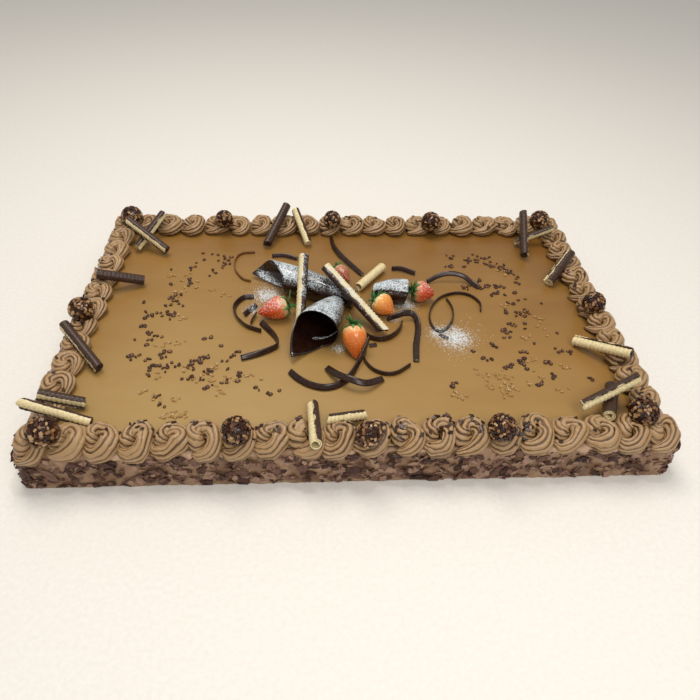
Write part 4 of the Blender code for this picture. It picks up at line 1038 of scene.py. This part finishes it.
leaf_points, leaf_faces, leaf_tones, seed_points, seed_faces = [], [], [], [], []
for index, (name, (start, end, radius, colours, sugar, leaves)) in enumerate(STRAWBERRIES.items()):
    draw = random.Random(80 + index)
    start, end, radius = on_top(start), on_top(end), radius * MM
    axes, length = axes_along(start, end)
    profile = smooth_route(BERRY_PROFILE, BERRY_STEPS)
    profile[:, 1] = np.clip(profile[:, 1], BLUNT_TIP, 1)
    turn = np.arange(BERRY_SIDES) * 2 * math.pi / BERRY_SIDES
    along, wide = length * profile[:, :1], radius * profile[:, 1:]
    body = np.stack([along + 0 * turn, wide * np.cos(turn), wide * np.sin(turn)], -1).reshape(-1, 3)
    shoulder = SHOULDER_SPANS * BERRY_STEPS
    seeds = []
    for row in range(SEED_ROWS):
        share = FIRST_SEED + SEED_SPAN * row / (SEED_ROWS - 1)
        row_wide = radius * np.interp(share, *profile[shoulder:].T)
        count = max(3, round(2 * math.pi * row_wide / SEED_APART))
        for seat in range(count):
            shift = draw.uniform(-SEED_TURN_SHIFT, SEED_TURN_SHIFT)
            spin = 2 * math.pi * (seat + 0.5 * (row % 2) + shift) / count
            seeds.append((length * (share + draw.uniform(-SEED_SHIFT, SEED_SHIFT)),
                          row_wide * math.cos(spin), row_wide * math.sin(spin)))
    seeds = np.array(seeds)
    near = np.linalg.norm(body[:, None] - seeds[None], axis=2).min(axis=1)
    slope_out = body * (0, 1, 1)
    slope_out /= np.maximum(np.linalg.norm(slope_out, axis=1), 1e-6)[:, None]
    body -= slope_out * (DIMPLE_DEPTH * np.exp(-(near / DIMPLE_REACH) ** 2))[:, None]
    body += slope_out * waves(body, ((*BERRY_SWELL, index),))[:, None]
    add_piece(name + "_flesh", body @ axes + start, tube_faces(len(profile), BERRY_SIDES),
              berry_flesh(name + "_flesh", colours), np.repeat(profile[:, 0], BERRY_SIDES),
              dust=lambda points, ups: sugar * np.clip(ups + 0.2, 0, 1) ** 0.8, replaced=[name])

    for seed in seeds:
        out = np.array((0, seed[1], seed[2])) / np.hypot(seed[1], seed[2])
        aside = np.cross((1, 0, 0), out)
        seed_faces += tube_faces(len(SEED_RINGS), SEED_SIDES, len(SEED_RINGS) * SEED_SIDES * len(seed_points))
        rings = [seed - out * SEED_SUNK + (SEED_LENGTH * rise, 0, 0)
                 + broad * SEED_WIDTH * (math.cos(a) * aside + math.sin(a) * SEED_FLATNESS * out)
                 for broad, rise in SEED_RINGS for a in 2 * math.pi * np.arange(SEED_SIDES) / SEED_SIDES]
        seed_points.append(np.array(rings) @ axes + start)

    wide_there = radius * profile[:, 1]
    reached = np.r_[0, np.cumsum(np.hypot(np.diff(along[:, 0]), np.diff(wide_there)))]
    for leaf in range(leaves):
        spin = 2 * math.pi * (leaf + draw.uniform(-LEAF_SHIFT, LEAF_SHIFT)) / leaves
        long, broad = radius * draw.uniform(*LEAF_LENGTH), draw.uniform(*LEAF_WIDTH) * MM
        stand, bend, lying = draw.uniform(*LEAF_STAND), draw.uniform(*LEAF_BEND), leaf % 2
        out = np.array((0, math.cos(spin), math.sin(spin)))
        aside = np.cross((1, 0, 0), out)
        for depth in (0, LEAF_THICKNESS):
            for row in range(LEAF_ROWS):
                t = row / (LEAF_ROWS - 1)
                lean = np.array((stand * (1 - bend * t), 0, 0))
                middle = long * t * (lean + out * math.sqrt(1 - 0.8 * stand**2))
                if lying:
                    middle = out * np.interp(long * t, reached, wide_there)
                    middle = middle + (np.interp(long * t, reached, along[:, 0]), 0, 0)
                middle = middle - (LEAF_DROP + depth, 0, 0) + lying * out * (LEAF_COVER + depth)
                from_root, to_tip, fullness = LEAF_SHAPE
                half = broad * max(LEAF_TIP, math.sin(math.pi * (from_root + to_tip * t) ** fullness))
                for col, fold in LEAF_FOLDS:
                    spot = (middle + aside * half * col - np.array((fold * half, 0, 0))) @ axes + start
                    leaf_points.append(np.maximum(spot, (-1, -1, ICING_TOP)))
                    leaf_tones.append(0.25 * (col == 0) + 0.5 * t + 0.3 * draw.random())
        first = len(leaf_points) - 2 * len(LEAF_FOLDS) * LEAF_ROWS
        leaf_faces += sheet_faces(len(LEAF_FOLDS), LEAF_ROWS, first)

# Young strawberry leaves are soft and matt, dark at the root and pale green at the tips.
leafy = mottled("strawberry_leaves", 1 * MM, 3, [(0.1, "#234a22"), (0.6, "#4a8040"), (1, "#9ab879")], 0,
                (0.3 * MM, 0.4), Roughness=0.45, Subsurface_Weight=0.1, Subsurface_Scale=1 * MM)
add_piece("strawberry_leaves", leaf_points, leaf_faces, leafy, leaf_tones)

# The seeds are dry and hard, straw yellow, so each one catches a small light.
seedy = mottled("strawberry_seeds", 10 * MM, 2, [(0.35, "#c28f45"), (0.65, "#e6cf8c")], Roughness=0.35)
add_piece("strawberry_seeds", np.concatenate(seed_points), seed_faces, seedy)


# Ribbons. Strips of dark chocolate are cut on film with a comb, curled while they set, and
# peeled off: thin and flat-edged, with a satin face. Each stands or leans as it was laid. A
# route is its points with their lift off the icing, then the width and the first and last lean.

RIBBONS = {
    "ribbon_back_loop": (
        ((-110, 123, 0), (-126, 120, 0), (-133, 105, 0), (-131, 83, 0), (-121, 65, 0),
         (-111, 60, 0)), 3, 0, 10),
    "ribbon_back_left": (((-88, 113, 0), (-73, 113, 1), (-56, 107, 0)), 5, 30, 50),
    "ribbon_back_middle": (
        ((-13, 158, 0), (-10, 134, 1), (-2, 112, 2), (9, 94, 1), (23, 72, 0)), 6, 35, 60),
    "ribbon_back_right": (((60, 84, 0), (72, 82, 1), (88, 74, 0)), 6, 20, 35),
    "ribbon_right_arch": (
        ((100, 56, 0), (114, 61, 5), (128, 62, 8), (143, 60, 6), (153, 53, 2), (161, 45, 0)), 6, 30, 45),
    "ribbon_right_spiral": (
        ((154, 0, 0), (156, 14, 0), (149, 28, 0), (137, 34, 0), (123, 32, 0), (110, 24, 0), (100, 10, 0),
         (94, -6, 0), (93, -22, 0), (97, -33, 0), (104, -35, 0), (112, -28, 0), (119, -15, 0), (122, 0, 0),
         (121, 13, 0), (118, 23, 0)), 4, 0, 10),
    "ribbon_left_loop": (
        ((-105, 28, 0), (-117, 25, 0), (-125, 9, 0), (-121, -9, 0), (-111, -24, 0), (-102, -30, 0),
         (-93, -34, 0)), 6, -40, 5),
    "ribbon_left_chord": (((-113, -6, 0), (-107, 4, 0), (-101, 12, 0)), 6, 40, 50),
    "ribbon_left_short": (((-100, -4, 0), (-103, -12, 0), (-105, -20, 0)), 6, 20, 10),
    "ribbon_front_left": (
        ((-94, -19, 0), (-86, -31, 0), (-78, -44, 0), (-74, -57, 0), (-82, -65, 0), (-96, -72, 0),
         (-111, -77, 0)), 7, 50, -45),
    "ribbon_front_long": (
        ((-61, -97, 0), (-52, -108, 0), (-40, -117, 0), (-26, -121, 0), (-12, -117, 0), (0, -105, 0.6),
         (9, -88, 3), (16, -74, 8), (20.5, -63, 13)), 7, 50, 10),
    "ribbon_front_over": (
        ((-24, -92, 0), (-14, -108, 6), (-2, -118, 9), (14, -121, 6), (32, -109, 0)), 7, 55, 55),
    "ribbon_front_right": (
        ((18, -66, 0), (15, -78, 0), (18, -88, 0), (25, -97, 0), (36, -102, 0), (48, -100, 0), (62, -89, 0)),
        5, 0, 5),
    "ribbon_right_long": (
        ((45, -16, 0), (55, -15, 4), (64, -13, 6), (72, -12, 5), (77, -17, 3), (78, -27, 1), (76, -40, 0),
         (72, -59, 0), (69, -83, 0)), 7, 10, 82),
    "ribbon_centre_arc": (
        ((19, -42, 0), (25, -47, 0), (33, -49.5, 0), (42, -48, 0), (50, -42.5, 0), (57, -33.5, 0),
         (61, -22, 0)), 7, 0, 5),
    "scrap_front": (((22, -58, 0), (26, -57, 0), (30, -56, 0)), 4, 55, 70),
    "scrap_right": (((99.5, -39.5, 0), (104, -43.5, 0), (109, -46.5, 0)), 3, 40, 60),
}
RIBBON_STEPS, RIBBON_THICKNESS, END_TAPER, MILK_RIBBON = 9, 1.3 * MM, 0.12, "ribbon_back_loop"
RIBBON_SUGAR, RIBBON_CATCH = 0.8, 0.4
RIBBON_SECTION = ((-1, -0.5), (-0.95, -1), (-0.3, -0.86), (0.3, -0.86), (0.95, -1), (1, -0.5),
                  (1, 0.5), (0.95, 1), (0.3, 0.92), (-0.3, 0.92), (-0.95, 1), (-1, 0.5))


def peeled_chocolate(name, colours):
    """The satin face of chocolate that set on film, faintly streaked along the comb's way."""
    return sugared(mottled(name, 3 * MM, 4, zip((0.3, 0.7), colours), relief=(0.3 * MM, 0.3),
                           Coat_Weight=0.35, Coat_Roughness=0.22, Specular_IOR_Level=0.25), 0.3)


# Dark chocolate is near black with a soft sheen; the one strip of milk chocolate is caramel.
satin = peeled_chocolate("peeled_dark_chocolate", ("#1f0f09", "#3a241a"))
milky = peeled_chocolate("peeled_milk_chocolate", ("#5a3418", "#7d5229"))

for name, (places, width, first_lean, last_lean) in RIBBONS.items():
    route = smooth_route(np.array(places) * MM, RIBBON_STEPS)
    points = []
    for index, (x, y, lift) in enumerate(route):
        share = index / (len(route) - 1)
        way = route[min(index + 1, len(route) - 1)] - route[max(index - 1, 0)]
        aside = np.array((-way[1], way[0], 0)) / np.hypot(way[0], way[1])
        lean = math.radians(first_lean + (last_lean - first_lean) * share)
        rise = np.array((0, 0, math.cos(lean))) + aside * math.sin(lean)
        out = aside * math.cos(lean) - np.array((0, 0, math.sin(lean)))
        half_height = (width * MM * math.cos(lean) + RIBBON_THICKNESS * abs(math.sin(lean))) / 2
        middle = np.array((x, y, TOP + lift + half_height))
        narrow = width * MM / 2 * (1 - END_TAPER * abs(2 * share - 1) ** 8)
        points += [middle + rise * up * narrow + out * push * RIBBON_THICKNESS / 2
                   for up, push in RIBBON_SECTION]
    add_piece(name + "_curled", points, tube_faces(len(route), len(RIBBON_SECTION)),
              milky if name == MILK_RIBBON else satin,
              dust=lambda points, ups: RIBBON_SUGAR * sugar_fall(points, ups + RIBBON_CATCH),
              replaced=[name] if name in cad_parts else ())


# Icing sugar. It is sieved over the middle last; where the sieve was tapped its grains lie
# loose on the icing and cling in clumps. Each drawn grain stands for a small clump of real ones.

GRAIN_COUNT, GRAIN_SIZE, GRAIN_SHAPE, GRAIN_SEAT, TAP_SPREAD = 3000, (0.2, 0.55), (0.7, 1.2), 0.4, 1.7
GRAIN_CORNERS = np.array(((1, 0, 0), (0, 1, 0), (-1, 0, 0), (0, -1, 0), (0, 0, 1), (0, 0, -1)))
GRAIN_FACES = ((0, 1, 4), (1, 2, 4), (2, 3, 4), (3, 0, 4), (1, 0, 5), (2, 1, 5), (3, 2, 5), (0, 3, 5))

draw = random.Random(91)
grain_points, grain_faces = [], []
for index in range(GRAIN_COUNT):
    x, y, reach = draw.choices(SUGAR_SPOTS, weights=[reach for _, _, reach in SUGAR_SPOTS])[0]
    size, spread = draw.uniform(*GRAIN_SIZE) * MM, reach / TAP_SPREAD
    spot = (draw.gauss(x, spread) * MM, draw.gauss(y, spread) * MM, ICING_TOP + GRAIN_SEAT * size)
    shape = [draw.uniform(*GRAIN_SHAPE) for _ in range(3)]
    grain_points.append(np.array(spot) + GRAIN_CORNERS * size * shape)
    grain_faces += [tuple(len(GRAIN_CORNERS) * index + corner for corner in face) for face in GRAIN_FACES]

# Icing sugar is chalky white and quite dull, as its fine grains scatter all the light.
sugar = mottled("icing_sugar", 3 * MM, 3, [(0.3, "#d9dcd6"), (0.7, "#eeefeb")], Roughness=0.85,
                Subsurface_Weight=0.2, Subsurface_Scale=0.5 * MM)
add_piece("icing_sugar_grains", np.concatenate(grain_points), grain_faces, sugar,
          smooth=False)
